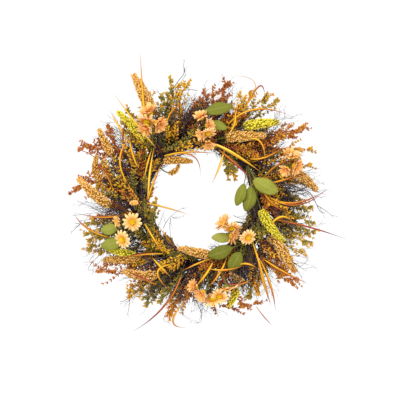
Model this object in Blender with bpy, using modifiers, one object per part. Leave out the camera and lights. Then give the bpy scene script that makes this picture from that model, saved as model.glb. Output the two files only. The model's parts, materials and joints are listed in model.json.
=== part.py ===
"""Harvest door wreath: a vine ring on a steel wire, wired picks all round it, and a hinged hanging loop.

Metres, +Z up. The wreath's front faces -Y and the door is on its +Y side. The origin is the point
under the top of the hanging loop where a hook or nail carries the wreath.
"""

import math

import bmesh
import bpy
from mathutils import Matrix, Vector

# The vine ring
RING_RADIUS = 0.138
STRAND_RADIUS = 0.0075
STRAND_COUNT = 5
STRAND_TURNS = 3
STRAND_GAP = 0.0012
RING_STEPS = 48

# Wires
RING_WIRE_RADIUS = 0.0016
BINDING_WIRE_RADIUS = 0.0009
STAPLE_WIRE_RADIUS = 0.0013
LOOP_WIRE_RADIUS = 0.0012

# Clearances
TOUCH_GAP = 0.0004
EYE_GAP = 0.0006
SEAT_GAP = 0.0006

# The hanger behind the top of the ring: the staple's bar is just long enough for the loop's two eyes
HANGER_CLOCK = 90.0
STAPLE_WRAP = 200.0
LOOP_HALF_WIDTH = 0.0085
LOOP_HEIGHT = 0.054
LOOP_LEAN = 6.0
EYE_SIDE_GAP = 0.001
EYE_PITCH = 2 * LOOP_WIRE_RADIUS + EYE_GAP
STAPLE_SPAN = 2 * (LOOP_HALF_WIDTH + EYE_PITCH + LOOP_WIRE_RADIUS + STAPLE_WIRE_RADIUS + EYE_SIDE_GAP)

# How far in front of the vines the picks lie: each kind a step in front of the one before. The leaves'
# own height is worked out below the tables, because they clear the widest spike.
TWIG_LAYER = 0.008
FOLIAGE_STEP = 0.011
SPIKE_STEP = 0.014
LEAF_CLEARANCE = 0.001
GRASS_STEP = 0.010
BLOOM_STEP = 0.009
FOLIAGE_LAYER = TWIG_LAYER + FOLIAGE_STEP
SPIKE_LAYER = FOLIAGE_LAYER + SPIKE_STEP

# Stems and blades
STEM_RADIUS = 0.0015
TWIG_RADIUS = 0.0021
SPRIG_RADIUS = 0.0036
TWIGLET_RADIUS = 0.0011
LEAF_THICKNESS = 0.0012
GRASS_THICKNESS = 0.0011

# Leaves: each one in a pick lies a step behind the last; crown and fold are shares of the width
LEAF_STEP_BACK = 0.004
LEAF_TIP_DROP = 0.003
LEAF_CROWN = 0.09
LEAF_FOLD = 0.18
LEAF_STEM_TUCK = 0.006
LEAF_STEM_FORWARD = 0.45
LEAF_STEM_ALONG = 0.25

GRASS_TIP_DROP = 0.012
GRASS_FOLD = 0.35

# Seed spikes: the stem stops short of the head, which swells and then tapers
SPIKE_STEM_SHARE = 0.94
SPIKE_TAPER = 0.72

# Daisies: a scalloped disc of petals on a raised eye
PETALS = 14
PETAL_THICKNESS = 0.0024
PETAL_NOTCH = 0.74
EYE_SHARE = 0.34
EYE_TOP_SHARE = 0.6
EYE_DEPTH = 0.007
EYE_RISE = 0.002
NECK_LENGTH = 0.022

# Side sprigs: how far along the stem the first one leaves it, over what share the rest follow
SPRIG_FIRST = 0.42
SPRIG_SPREAD = 0.4
SPRIG_ANGLE = 38.0
SPRIG_LENGTH = 0.036
TWIGLET_LENGTH = 0.045
SPRIG_SHORTENING = 0.3
SPRIG_SWELL = (0.4, 1.0, 0.9, 0.35)
STEM_TAPER = 0.55

# Where the binding wire goes round, as clock angles: degrees, anticlockwise from +X seen from the front
BINDING_CLOCKS = (13.0, 63.0, 155.0, 214.0, 278.0)

# Each pick: where it is seated (clock, and angle round the vines from the front towards the outside),
# then points it passes (clock, distance outside the ring's centreline in mm), then its width in mm.
SPIKES = {
    "seed_spike_1": ((121, 30), (119, 85), (118, 172), 26, "rust_seed"),
    "seed_spike_2": ((136, 5), (133, 40), (133, 124), 20, "yellow_seed"),
    "seed_spike_3": ((163, 45), (153, 77), (145, 131), 17, "rust_seed"),
    "seed_spike_4": ((196, 30), (184, 59), (170, 131), 26, "rust_seed"),
    "seed_spike_5": ((71, 30), (59, 49), (45, 101), 26, "yellow_seed"),
    "seed_spike_6": ((80, -10), (68, 9), (45, 60), 26, "rust_seed"),
    "seed_spike_7": ((24, 45), (19, 65), (5, 116), 24, "rust_seed"),
    "seed_spike_8": ((16, -20), (-9, -4), (-26, 65), 24, "yellow_seed"),
    "seed_spike_9": ((-63, -12), (-78, -16), (-113, -24), 21, "rust_seed"),
    "seed_spike_10": ((149, -30), (134, -22), (103, -52), 15, "rust_seed"),
    "seed_spike_11": ((-111, 30), (-120, 52), (-137, 89), 24, "rust_seed"),
    "seed_spike_12": ((-134, 40), (-140, 47), (-155, 97), 14, "yellow_seed"),
    "seed_spike_13": ((-57, 45), (-67, 71), (-75, 101), 16, "yellow_seed"),
    "seed_spike_14": ((-19, 25), (-29, 54), (-37, 120), 26, "rust_seed"),
}
LEAVES = {
    "leaf_pick_1": ((101, 20), (((87, 53), (71, 78), 27), ((84, 30), (69, 29), 20))),
    "leaf_pick_2": (
        (36, -20),
        (((21, -14), (6, 33), 32), ((20, -36), (-9, -58), 22), ((15, -22), (-14, -36), 28)),
    ),
    "leaf_pick_3": ((-163, 20), (((-162, 50), (-163, 86), 24), ((-153, 49), (-155, 99), 27))),
    "leaf_pick_4": (
        (-47, -10),
        (((-50, -29), (-73, -53), 21), ((-56, -14), (-82, -14), 29), ((-52, 6), (-67, 30), 30)),
    ),
}
GRASSES = {
    "grass_blade_1": ((137, 40), (120, 105), (112, 207), 8),
    "grass_blade_2": ((130, 25), (130, 60), (129, 160), 8),
    "grass_blade_3": ((88, -30), (70, -14), (23, 9), 7),
    "grass_blade_4": ((8, -5), (-2, 66), (5, 140), 7),
    "grass_blade_5": ((-16, 20), (-14, 107), (-15, 190), 4),
    "grass_blade_6": ((-37, 10), (-46, 43), (-56, 136), 7),
    "grass_blade_7": ((-104, 20), (-109, 108), (-117, 181), 5),
    "grass_blade_8": ((-171, 40), (-170, 74), (-174, 134), 6),
}
# Daisies: seat, head centre, head radius in mm, the clock angle that the face tips towards, and its tilt
DAISIES = {
    "daisy_1": ((-166, 10), (-162, 14), 22, -120, 15),
    "daisy_2": ((-156, 40), (-153, 48), 22, -150, 40),
    "daisy_3": ((-37, -15), (-38, -8), 20, -45, 35),
    "daisy_4": ((-27, -50), (-36, -50), 15, 100, 40),
    "daisy_5": ((-75, 40), (-73, 60), 22, 100, 30),
    "daisy_6": ((-84, 45), (-82, 88), 20, 250, 25),
    "daisy_7": ((125, 45), (123, 73), 21, 120, 25),
    "daisy_8": ((86, 5), (83, 14), 16, 80, 35),
    "daisy_9": ((31, 45), (26, 86), 15, 20, 30),
}
FOLIAGE = {
    "foliage_spray_1": ((150, 35), (151, 90), (155, 150)),
    "foliage_spray_2": ((172, 30), (169, 90), (177, 148)),
    "foliage_spray_3": ((111, 20), (108, 64), (102, 139)),
    "foliage_spray_4": ((75, 20), (80, 65), (75, 127)),
    "foliage_spray_5": ((41, 30), (38, 90), (34, 150)),
    "foliage_spray_6": ((-12, 20), (-13, 66), (-18, 124)),
    "foliage_spray_7": ((-44, 30), (-43, 82), (-42, 150)),
    "foliage_spray_8": ((-94, 25), (-98, 68), (-108, 125)),
}
TWIGS = {
    "twig_spray_1": ((104, 40), (103, 89), (97, 160)),
    "twig_spray_2": ((1, 30), (4, 87), (-6, 140)),
    "twig_spray_3": ((-178, 35), (-172, 80), (-166, 130)),
    "twig_spray_4": ((-126, 30), (-127, 85), (-124, 140)),
}

MM = 0.001
SHARP_ANGLE = math.radians(40)

SPIKE_REACH = max(spike[3] for spike in SPIKES.values()) / 2 * MM
LEAF_ROWS = max(len(leaves) for _, leaves in LEAVES.values())
LEAF_LAYER = SPIKE_LAYER + SPIKE_REACH + (LEAF_ROWS - 1) * LEAF_STEP_BACK + LEAF_CLEARANCE
GRASS_LAYER = LEAF_LAYER + GRASS_STEP
BLOOM_LAYER = GRASS_LAYER + BLOOM_STEP

# Each material: colour, roughness, metallic
FINISHES = {
    "vine": ("#3A2624", 0.85, 0.0),
    "twig": ("#4A332C", 0.85, 0.0),
    "ring_steel": ("#4B4F4A", 0.45, 1.0),
    "binding_wire": ("#6A6E5C", 0.4, 1.0),
    "hanger_steel": ("#8C8F92", 0.35, 1.0),
    "rust_seed": ("#CF7A2C", 0.7, 0.0),
    "yellow_seed": ("#DCC63C", 0.7, 0.0),
    "leaf_fabric": ("#71842B", 0.6, 0.0),
    "grass_film": ("#D89A2A", 0.45, 0.0),
    "petal_fabric": ("#F5C58C", 0.75, 0.0),
    "foliage": ("#8A7A28", 0.65, 0.0),
}


def clear_scene():
    for scene_object in list(bpy.data.objects):
        bpy.data.objects.remove(scene_object, do_unlink=True)


def new_collection(name):
    collection = bpy.data.collections.new(name)
    bpy.context.scene.collection.children.link(collection)
    return collection


def linear(channel):
    """One sRGB channel, 0 to 1, as linear light."""
    return channel / 12.92 if channel <= 0.04045 else ((channel + 0.055) / 1.055) ** 2.4


def make_materials():
    made = {}
    for name, (colour, roughness, metallic) in FINISHES.items():
        material = bpy.data.materials.new(name)
        material.use_nodes = True
        shader = material.node_tree.nodes["Principled BSDF"]
        channels = [linear(int(colour[i:i + 2], 16) / 255) for i in (1, 3, 5)]
        shader.inputs["Base Color"].default_value = (*channels, 1)
        shader.inputs["Roughness"].default_value = roughness
        shader.inputs["Metallic"].default_value = metallic
        material.diffuse_color = (*channels, 1)
        made[name] = material
    return made


def helix_radius():
    """Distance of a strand's centre from the bundle's centre, so that the laid strands just clear."""
    flat = (STRAND_RADIUS + STRAND_GAP / 2) / math.sin(math.pi / STRAND_COUNT)
    lay = math.atan(flat * STRAND_TURNS / (RING_RADIUS - flat))
    return flat / math.cos(lay)


LAY_RADIUS = helix_radius()
BUNDLE_RADIUS = LAY_RADIUS + STRAND_RADIUS
EYE_RADIUS = STAPLE_WIRE_RADIUS + EYE_GAP + LOOP_WIRE_RADIUS
HINGE_BACK = BUNDLE_RADIUS + TOUCH_GAP + EYE_RADIUS + LOOP_WIRE_RADIUS


def polar(clock, out, height):
    """A clock angle, a distance outside the ring's centreline and a height in front of it, as a point."""
    angle = math.radians(clock)
    radius = RING_RADIUS + out
    return Vector((radius * math.cos(angle), -height, radius * math.sin(angle)))


def round_vines(clock, section, distance):
    """A point at that distance from the bundle's centre; section turns from the front towards the outside."""
    turn = math.radians(section)
    return polar(clock, distance * math.sin(turn), distance * math.cos(turn))


def seat(clock, section, radius):
    """Where a stem of that radius starts, just clear of the vines."""
    return round_vines(clock, section, BUNDLE_RADIUS + SEAT_GAP + radius)


def through_knee(first, middle, last):
    """How far along the curve through three points the middle one comes, 0 to 1."""
    near = (middle - first).length
    return near / (near + (last - middle).length)


def through(first, middle, last, share):
    """The point at share, 0 to 1, on the smooth curve through three points."""
    knee = through_knee(first, middle, last)
    a = (share - knee) * (share - 1) / knee
    b = share * (share - 1) / (knee * (knee - 1))
    c = share * (share - knee) / (1 - knee)
    return first * a + middle * b + last * c


def as_mesh(scene_object):
    """The curve object as a mesh object in the same place, with its caps welded on."""
    bpy.context.view_layer.update()
    evaluated = scene_object.evaluated_get(bpy.context.evaluated_depsgraph_get())
    mesh = bpy.data.meshes.new_from_object(evaluated)
    name = scene_object.name
    holder = scene_object.users_collection[0]
    made = bpy.data.objects.new(name, mesh)
    made.matrix_world = scene_object.matrix_world
    bpy.data.objects.remove(scene_object, do_unlink=True)
    made.name = name
    holder.objects.link(made)
    form = bmesh.new()
    form.from_mesh(mesh)
    bmesh.ops.remove_doubles(form, verts=form.verts, dist=0.00001)
    form.to_mesh(mesh)
    form.free()
    return made


def tube(name, points, radii, closed=False):
    """A round wire or stem through the points, as a curve; radii is one radius, or one for each point."""
    if isinstance(radii, float):
        radii = [radii] * len(points)
    widest = max(radii)
    curve = bpy.data.curves.new(name, "CURVE")
    curve.dimensions = "3D"
    curve.bevel_depth = widest
    curve.bevel_resolution = 1
    curve.use_fill_caps = True
    spline = curve.splines.new("POLY")
    spline.points.add(len(points) - 1)
    for place, point, radius in zip(spline.points, points, radii):
        place.co = (*point, 1)
        place.radius = radius / widest
    spline.use_cyclic_u = closed
    made = bpy.data.objects.new(name, curve)
    parts.objects.link(made)
    return made


def finish(made, slot, parent):
    """Gives a piece its material, its parent and smooth shading up to the sharp-edge angle."""
    if made.type == "MESH":
        made.data.shade_smooth()
        made.data.set_sharp_from_angle(angle=SHARP_ANGLE)
    made.data.materials.clear()
    made.data.materials.append(materials[slot])
    made.parent = parent
    return made


def join_pieces(name, pieces):
    """One solid made of the first piece and the others, which become its cutters."""
    body = as_mesh(pieces[0]) if pieces[0].type == "CURVE" else pieces[0]
    body.name = name
    for piece in pieces[1:]:
        other = as_mesh(piece) if piece.type == "CURVE" else piece
        parts.objects.unlink(other)
        cutters.objects.link(other)
        other.hide_render = True
        other.display_type = "WIRE"
        other.parent = centre
        union = body.modifiers.new("join", "BOOLEAN")
        union.operation = "UNION"
        union.solver = "EXACT"
        union.object = other
    return body


def blade(name, place_at, width_at, steps, thickness, fold):
    """A leaf or blade: a grid laid along a curve, as wide as width_at says, folded up at its edges."""
    form = bmesh.new()
    bmesh.ops.create_grid(form, x_segments=steps, y_segments=2, size=1)
    small = 1e-3
    for corner in form.verts:
        share = (corner.co.x + 1) / 2
        across = corner.co.y
        ahead = place_at(min(1, share + small)) - place_at(max(0, share - small))
        side = ahead.cross(Vector((0, -1, 0))).normalized()
        up = side.cross(ahead).normalized()
        half = width_at(share) / 2
        corner.co = place_at(share) + side * half * across - up * half * fold * abs(across)
    bmesh.ops.recalc_face_normals(form, faces=form.faces)
    mesh = bpy.data.meshes.new(name)
    form.to_mesh(mesh)
    form.free()
    made = bpy.data.objects.new(name, mesh)
    parts.objects.link(made)
    shell = made.modifiers.new("thickness", "SOLIDIFY")
    shell.thickness = thickness
    shell.offset = 0
    return made


def make_ring():
    bpy.ops.mesh.primitive_torus_add(
        major_segments=RING_STEPS, minor_segments=6,
        major_radius=RING_RADIUS, minor_radius=RING_WIRE_RADIUS,
        rotation=(math.pi / 2, 0, 0),
    )
    wire = bpy.context.object
    wire.name = "ring_wire"
    for holder in list(wire.users_collection):
        holder.objects.unlink(wire)
    parts.objects.link(wire)
    finish(wire, "ring_steel", centre)
    for strand in range(STRAND_COUNT):
        start = 360 * strand / STRAND_COUNT
        points = []
        for step in range(RING_STEPS):
            share = step / RING_STEPS
            points.append(round_vines(360 * share, start + 360 * STRAND_TURNS * share, LAY_RADIUS))
        made = tube(f"vine_strand_{strand + 1}", points, STRAND_RADIUS, closed=True)
        finish(made, "vine", centre)


def make_bindings():
    reach = BUNDLE_RADIUS + TOUCH_GAP + BINDING_WIRE_RADIUS
    for number, clock in enumerate(BINDING_CLOCKS, 1):
        bpy.ops.mesh.primitive_torus_add(
            major_segments=18, minor_segments=5, major_radius=reach, minor_radius=BINDING_WIRE_RADIUS,
        )
        wire = bpy.context.object
        wire.name = f"binding_wire_{number}"
        for holder in list(wire.users_collection):
            holder.objects.unlink(wire)
        parts.objects.link(wire)
        wire.location = polar(clock, 0, 0)
        wire.rotation_euler = (0, math.radians(-clock), 0)
        finish(wire, "binding_wire", centre)


def make_staple():
    """A wire bent over the vines at two places, with a straight bar behind that the loop turns on."""
    turn = math.degrees(math.asin(STAPLE_SPAN / 2 / RING_RADIUS))
    near = BUNDLE_RADIUS + TOUCH_GAP + STAPLE_WIRE_RADIUS
    steps = 9
    legs = []
    for side in (-1, 1):
        leg = []
        for step in range(steps + 1):
            share = step / steps
            section = 180 - STAPLE_WRAP * (1 - share)
            away = near + (HINGE_BACK - near) * share ** 3
            leg.append(round_vines(HANGER_CLOCK - side * turn, section, away))
        leg[-1] = Vector((side * STAPLE_SPAN / 2, HINGE_BACK, RING_RADIUS))
        legs.append(leg)
    finish(tube("hanger_staple", legs[0] + legs[1][::-1], STAPLE_WIRE_RADIUS), "hanger_steel", centre)


def make_loop():
    """The hanging loop: an eye round the bar at each end, two legs and a round top, all made upright."""
    eye_steps = 10
    top_steps = 8
    right = []
    for step in range(eye_steps + 1):
        share = step / eye_steps
        turn = 2 * math.pi * share
        right.append(Vector((
            LOOP_HALF_WIDTH + EYE_PITCH * (1 - share),
            -EYE_RADIUS * math.cos(turn),
            -EYE_RADIUS * math.sin(turn),
        )))
    arch_centre = LOOP_HEIGHT + LOOP_WIRE_RADIUS - LOOP_HALF_WIDTH
    right.append(Vector((LOOP_HALF_WIDTH, -EYE_RADIUS, arch_centre / 2)))
    top = []
    for step in range(top_steps + 1):
        turn = math.pi * step / top_steps
        top.append(Vector((
            LOOP_HALF_WIDTH * math.cos(turn), -EYE_RADIUS, arch_centre + LOOP_HALF_WIDTH * math.sin(turn),
        )))
    left = [Vector((-point.x, point.y, point.z)) for point in reversed(right)]
    finish(tube("hanging_loop", right + top + left, LOOP_WIRE_RADIUS), "hanger_steel", hinge)


def make_spikes():
    steps = 11
    height = BUNDLE_RADIUS + SPIKE_LAYER
    for name, (base, start, tip, width, slot) in SPIKES.items():
        first = seat(*base, STEM_RADIUS)
        middle = polar(start[0], start[1] * MM, height)
        last = polar(tip[0], tip[1] * MM, height)
        knee = through_knee(first, middle, last)
        points = [first] + [
            through(first, middle, last, knee * share) for share in (0.5, SPIKE_STEM_SHARE)
        ]
        radii = [STEM_RADIUS, STEM_RADIUS, STEM_RADIUS]
        for step in range(steps - 3):
            share = step / (steps - 4)
            points.append(through(first, middle, last, knee + (1 - knee) * share))
            swell = min(1, 0.55 + 3 * share) * (1 - SPIKE_TAPER * share ** 2.2)
            radii.append(width / 2 * MM * swell)
        finish(tube(name, points, radii), slot, centre)


def make_leaf_picks():
    height = BUNDLE_RADIUS + LEAF_LAYER
    for name, (base, leaves) in LEAVES.items():
        first = seat(*base, STEM_RADIUS)
        pieces = []
        for number, (start, tip, width) in enumerate(leaves):
            level = height - number * LEAF_STEP_BACK
            root = polar(start[0], start[1] * MM, level)
            end = polar(tip[0], tip[1] * MM, level - LEAF_TIP_DROP)
            stem_end = root + (end - root).normalized() * LEAF_STEM_TUCK
            forward = Vector((0, -LEAF_LAYER * LEAF_STEM_FORWARD, 0))
            bend = first + forward + (root - first) * LEAF_STEM_ALONG
            stem = [through(first, bend, stem_end, share / 5) for share in range(6)]
            pieces.append(tube(f"{name}_stem_{number + 1}", stem, STEM_RADIUS))

            def spine(share, root=root, end=end, width=width):
                crown = Vector((0, -1, 0)) * width * MM * LEAF_CROWN * math.sin(math.pi * share)
                return root.lerp(end, share) + crown

            def across(share, width=width):
                return width * MM * (0.06 + 0.94 * math.sin(math.pi * min(1, share * 0.97 + 0.02)) ** 0.75)

            pieces.append(
                blade(f"{name}_leaf_{number + 1}", spine, across, 6, LEAF_THICKNESS, LEAF_FOLD)
            )
        finish(join_pieces(name, pieces), "leaf_fabric", centre)


def make_grasses():
    height = BUNDLE_RADIUS + GRASS_LAYER
    for name, (base, middle, tip, width) in GRASSES.items():
        first = seat(*base, width / 2 * MM)
        knee = polar(middle[0], middle[1] * MM, height)
        last = polar(tip[0], tip[1] * MM, height - GRASS_TIP_DROP)

        def spine(share, first=first, knee=knee, last=last):
            return through(first, knee, last, share)

        def across(share, width=width):
            return width * MM * (0.55 + 0.45 * math.sin(math.pi * min(1, share * 1.15)) - 0.42 * share ** 3)

        finish(blade(name, spine, across, 11, GRASS_THICKNESS, GRASS_FOLD), "grass_film", centre)


def make_daisies():
    height = BUNDLE_RADIUS + BLOOM_LAYER
    for name, (base, head, radius_mm, facing, tilt) in DAISIES.items():
        radius = radius_mm * MM
        middle = polar(head[0], head[1] * MM, height)
        away = math.radians(facing)
        lean = math.radians(tilt)
        face = Vector((math.sin(lean) * math.cos(away), -math.cos(lean), math.sin(lean) * math.sin(away)))
        first = seat(*base, STEM_RADIUS)
        knee = middle - face * NECK_LENGTH
        stem = [through(first, knee, middle, share / 5) for share in range(6)]
        outline = []
        for step in range(2 * PETALS):
            turn = math.pi * step / PETALS
            reach = radius if step % 2 else radius * PETAL_NOTCH
            outline.append(Vector((reach * math.cos(turn), reach * math.sin(turn), 0)))
        petals = bpy.data.curves.new(f"{name}_petals", "CURVE")
        petals.dimensions = "2D"
        petals.fill_mode = "BOTH"
        petals.extrude = PETAL_THICKNESS / 2
        ring = petals.splines.new("POLY")
        ring.points.add(len(outline) - 1)
        for place, point in zip(ring.points, outline):
            place.co = (*point, 1)
        ring.use_cyclic_u = True
        disc = bpy.data.objects.new(f"{name}_petals", petals)
        parts.objects.link(disc)
        stand = Matrix.Translation(middle) @ face.to_track_quat("Z", "Y").to_matrix().to_4x4()
        disc.matrix_world = stand
        eye_form = bmesh.new()
        eye = radius * EYE_SHARE
        bmesh.ops.create_cone(
            eye_form, cap_ends=True, segments=10, radius1=eye, radius2=eye * EYE_TOP_SHARE,
            depth=EYE_DEPTH, matrix=Matrix.Translation((0, 0, EYE_RISE)),
        )
        eye_mesh = bpy.data.meshes.new(f"{name}_eye")
        eye_form.to_mesh(eye_mesh)
        eye_form.free()
        button = bpy.data.objects.new(f"{name}_eye", eye_mesh)
        button.matrix_world = stand
        parts.objects.link(button)
        pieces = [tube(f"{name}_stem", stem, STEM_RADIUS), disc, button]
        finish(join_pieces(name, pieces), "petal_fabric", centre)


def make_spray(name, base, middle, tip, layer, thick, sprigs, sprig_thick, sprig_length, slot):
    """A main stem with side sprigs that leave it left and right by turns."""
    first = seat(*base, thick)
    knee = polar(middle[0], middle[1] * MM, BUNDLE_RADIUS + layer)
    last = polar(tip[0], tip[1] * MM, BUNDLE_RADIUS + layer)
    steps = 6
    stem = [through(first, knee, last, step / steps) for step in range(steps + 1)]
    stem_radii = [thick * (1 - STEM_TAPER * step / steps) for step in range(steps + 1)]
    pieces = [tube(f"{name}_stem", stem, stem_radii)]
    for number in range(sprigs):
        share = SPRIG_FIRST + SPRIG_SPREAD * number / (sprigs - 1)
        side = 1 if number % 2 else -1
        root = through(first, knee, last, share)
        ahead = (through(first, knee, last, share + 0.02) - root).normalized()
        turned = Matrix.Rotation(math.radians(SPRIG_ANGLE * side), 3, "Y") @ ahead
        length = sprig_length * (1 - SPRIG_SHORTENING * share)
        points = [root + turned * length * step / 3 for step in range(4)]
        widths = [sprig_thick * swell for swell in SPRIG_SWELL]
        pieces.append(tube(f"{name}_sprig_{number + 1}", points, widths))
    finish(join_pieces(name, pieces), slot, centre)


def make_sprays():
    for name, (base, middle, tip) in FOLIAGE.items():
        make_spray(
            name, base, middle, tip, FOLIAGE_LAYER, STEM_RADIUS, 3, SPRIG_RADIUS, SPRIG_LENGTH, "foliage",
        )
    for name, (base, middle, tip) in TWIGS.items():
        make_spray(
            name, base, middle, tip, TWIG_LAYER, TWIG_RADIUS, 2, TWIGLET_RADIUS, TWIGLET_LENGTH, "twig",
        )


def place_empties():
    """The hook point is the origin; the hinge and the ring hang from it by the loop's own sizes."""
    lean = math.radians(LOOP_LEAN)
    top = Matrix.Rotation(lean, 3, "X") @ Vector((0, -EYE_RADIUS, LOOP_HEIGHT))
    hinge_at = -top
    centre_at = hinge_at - Vector((0, HINGE_BACK, RING_RADIUS))
    ring_centre = bpy.data.objects.new("ring_centre", None)
    ring_centre.location = centre_at
    loop_hinge = bpy.data.objects.new("loop_hinge", None)
    loop_hinge.location = hinge_at
    loop_hinge.rotation_euler = (lean, 0, 0)
    for empty in (ring_centre, loop_hinge):
        parts.objects.link(empty)
    return ring_centre, loop_hinge


clear_scene()
parts = new_collection("harvest_door_wreath")
cutters = new_collection("cutters")
materials = make_materials()
centre, hinge = place_empties()
make_ring()
make_bindings()
make_staple()
make_loop()
make_spikes()
make_leaf_picks()
make_grasses()
make_daisies()
make_sprays()
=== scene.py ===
import functools
import json
import math

import bpy
import numpy as np
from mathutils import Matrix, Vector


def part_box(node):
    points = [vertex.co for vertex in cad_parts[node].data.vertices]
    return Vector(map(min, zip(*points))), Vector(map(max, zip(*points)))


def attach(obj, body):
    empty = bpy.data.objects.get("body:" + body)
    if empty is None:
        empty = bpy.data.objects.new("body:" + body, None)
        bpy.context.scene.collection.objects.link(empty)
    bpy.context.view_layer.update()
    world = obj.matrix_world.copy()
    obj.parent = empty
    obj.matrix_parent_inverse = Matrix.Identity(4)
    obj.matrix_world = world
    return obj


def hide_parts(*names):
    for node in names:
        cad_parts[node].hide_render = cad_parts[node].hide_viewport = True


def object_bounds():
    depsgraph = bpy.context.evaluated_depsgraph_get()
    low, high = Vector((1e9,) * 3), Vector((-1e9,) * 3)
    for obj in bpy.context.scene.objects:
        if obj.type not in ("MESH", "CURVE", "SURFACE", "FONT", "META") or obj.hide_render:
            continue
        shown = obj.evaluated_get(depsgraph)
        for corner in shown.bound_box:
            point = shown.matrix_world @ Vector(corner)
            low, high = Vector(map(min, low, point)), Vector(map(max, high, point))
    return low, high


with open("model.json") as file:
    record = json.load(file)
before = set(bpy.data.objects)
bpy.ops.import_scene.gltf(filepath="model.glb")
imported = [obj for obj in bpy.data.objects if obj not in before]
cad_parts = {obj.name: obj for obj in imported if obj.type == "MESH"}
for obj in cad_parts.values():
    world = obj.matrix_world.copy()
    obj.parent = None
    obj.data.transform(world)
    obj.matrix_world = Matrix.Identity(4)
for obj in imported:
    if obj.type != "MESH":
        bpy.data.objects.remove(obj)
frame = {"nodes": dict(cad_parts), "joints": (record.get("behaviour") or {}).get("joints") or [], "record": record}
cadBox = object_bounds()
nodes = frame["nodes"]
slotOfNode = {row["node"]: row["material_slot"] for row in frame["record"]["subparts"]}
mm = 0.001
goldenTurn = 2.39996  # radians between one seed and the next in a spiral that never lines up


def nodesNamed(start):
    return sorted(name for name in nodes if name.startswith(start))


# where the ring is: read from the steel wire in its middle and from the vines round it
wireLow, wireHigh = (np.array(corner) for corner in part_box("ring_wire"))
ringCentre = (wireLow + wireHigh) / 2
wireThick = wireHigh[1] - wireLow[1]
ringRadius = (wireHigh[0] - wireLow[0] - wireThick) / 2
vineNodes = nodesNamed("vine_strand")
vineFront = min(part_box(name)[0][1] for name in vineNodes)
vineThick = ringCentre[1] - vineFront  # from the middle of the bundle to its skin
hingePoint = np.array(frame["joints"][0]["pos_m"])
print("frame read: ring radius", round(ringRadius / mm, 1), "mm, vine bundle", round(vineThick / mm, 1), "mm")


def linear(hexColour):
    # sRGB hex to the linear values that the shaders use
    values = [int(hexColour[i:i + 2], 16) / 255 for i in (1, 3, 5)]
    return [v / 12.92 if v <= 0.04045 else ((v + 0.055) / 1.055) ** 2.4 for v in values] + [1.0]


def unit(vectors):
    return vectors / np.maximum(np.linalg.norm(vectors, axis=-1, keepdims=True), 1e-9)


def ringPoint(clock, out, height):
    # clock angle in degrees, distance outside the ring's middle line, height in front of its plane
    angle = np.radians(clock)
    radius = ringRadius + out
    return np.stack([
        ringCentre[0] + radius * np.cos(angle),
        ringCentre[1] - height + 0 * radius * angle,
        ringCentre[2] + radius * np.sin(angle),
    ], axis=-1)


def roundVines(clock, section, distance):
    # section turns from the front of the bundle towards the outside of the ring
    turn = np.radians(section)
    return ringPoint(clock, distance * np.sin(turn), distance * np.cos(turn))


def newPile():
    # a mesh in the making: every part of a piece is added to it before it becomes an object
    lists = ("points", "fours", "threes", "tint", "along", "across", "fourSlot", "threeSlot")
    return {"count": 0, **{word: [] for word in lists}}


def sweep(pile, paths, sides, ups, sectionA, sectionB, widths, heights, tint=0.5, slot=0, alongFrom=None):
    # a closed skin round each path: point = path + side * a * width + up * b * height,
    # for each corner (a, b) of the section
    many, steps = paths.shape[:2]
    corners = len(sectionA)
    widths = np.broadcast_to(widths, (many, steps))[..., None, None]
    heights = np.broadcast_to(heights, (many, steps))[..., None, None]
    a = np.asarray(sectionA)[None, None, :, None]
    b = np.asarray(sectionB)[None, None, :, None]
    skin = paths[:, :, None] + sides[:, :, None] * a * widths + ups[:, :, None] * b * heights
    ends = np.stack([paths[:, 0], paths[:, -1]], axis=1)
    points = np.concatenate([skin.reshape(many, -1, 3), ends], axis=1)
    each = points.shape[1]
    ring = np.arange(corners)
    nextRing = (ring + 1) % corners
    rows = np.arange(steps - 1)[:, None] * corners
    above = rows + corners
    fours = np.stack([rows + ring, rows + nextRing, above + nextRing, above + ring], axis=-1).reshape(-1, 4)
    last = (steps - 1) * corners
    startCap = np.stack([ring * 0 + steps * corners, nextRing, ring], axis=-1)
    endCap = np.stack([ring * 0 + steps * corners + 1, last + ring, last + nextRing], axis=-1)
    threes = np.concatenate([startCap, endCap])
    offset = pile["count"] + np.arange(many)[:, None, None] * each
    pile["points"].append(points.reshape(-1, 3))
    pile["fours"].append((fours[None] + offset).reshape(-1, 4))
    pile["threes"].append((threes[None] + offset).reshape(-1, 3))
    pile["fourSlot"].append(np.full(many * len(fours), slot))
    pile["threeSlot"].append(np.full(many * len(threes), slot))
    share = np.linspace(0, 1, steps)
    along = np.concatenate([np.repeat(share, corners), [0, 1]])
    along = np.broadcast_to(along, (many, each))
    if alongFrom is not None:  # the shade runs from one given value to another, not from 0 to 1
        first, end = alongFrom
        along = np.asarray(first)[:, None] * (1 - along) + np.asarray(end)[:, None] * along
    across = np.concatenate([np.tile(np.asarray(sectionA, float), steps), [0, 0]])
    pile["along"].append(along.reshape(-1))
    pile["across"].append(np.broadcast_to(across, (many, each)).reshape(-1))
    pile["tint"].append(np.repeat(np.broadcast_to(tint, (many,)), each))
    pile["count"] += many * each


def frames(paths, facing, twist=None):
    # along each path: side is square to it and to facing, up is square to both; twist turns them, in radians
    ahead = unit(np.gradient(paths, axis=1))
    if np.ndim(facing) == 2:  # one facing for each path
        facing = np.repeat(facing[:, None], paths.shape[1], 1)
    sides = unit(np.cross(ahead, np.broadcast_to(facing, paths.shape)))
    ups = unit(np.cross(sides, ahead))
    if twist is not None:
        twist = np.broadcast_to(twist, paths.shape[:2])[..., None]
        sides, ups = sides * np.cos(twist) + ups * np.sin(twist), ups * np.cos(twist) - sides * np.sin(twist)
    return sides, ups


def circle(count):
    turn = 2 * math.pi * np.arange(count) / count
    return np.cos(turn), np.sin(turn)


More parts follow.
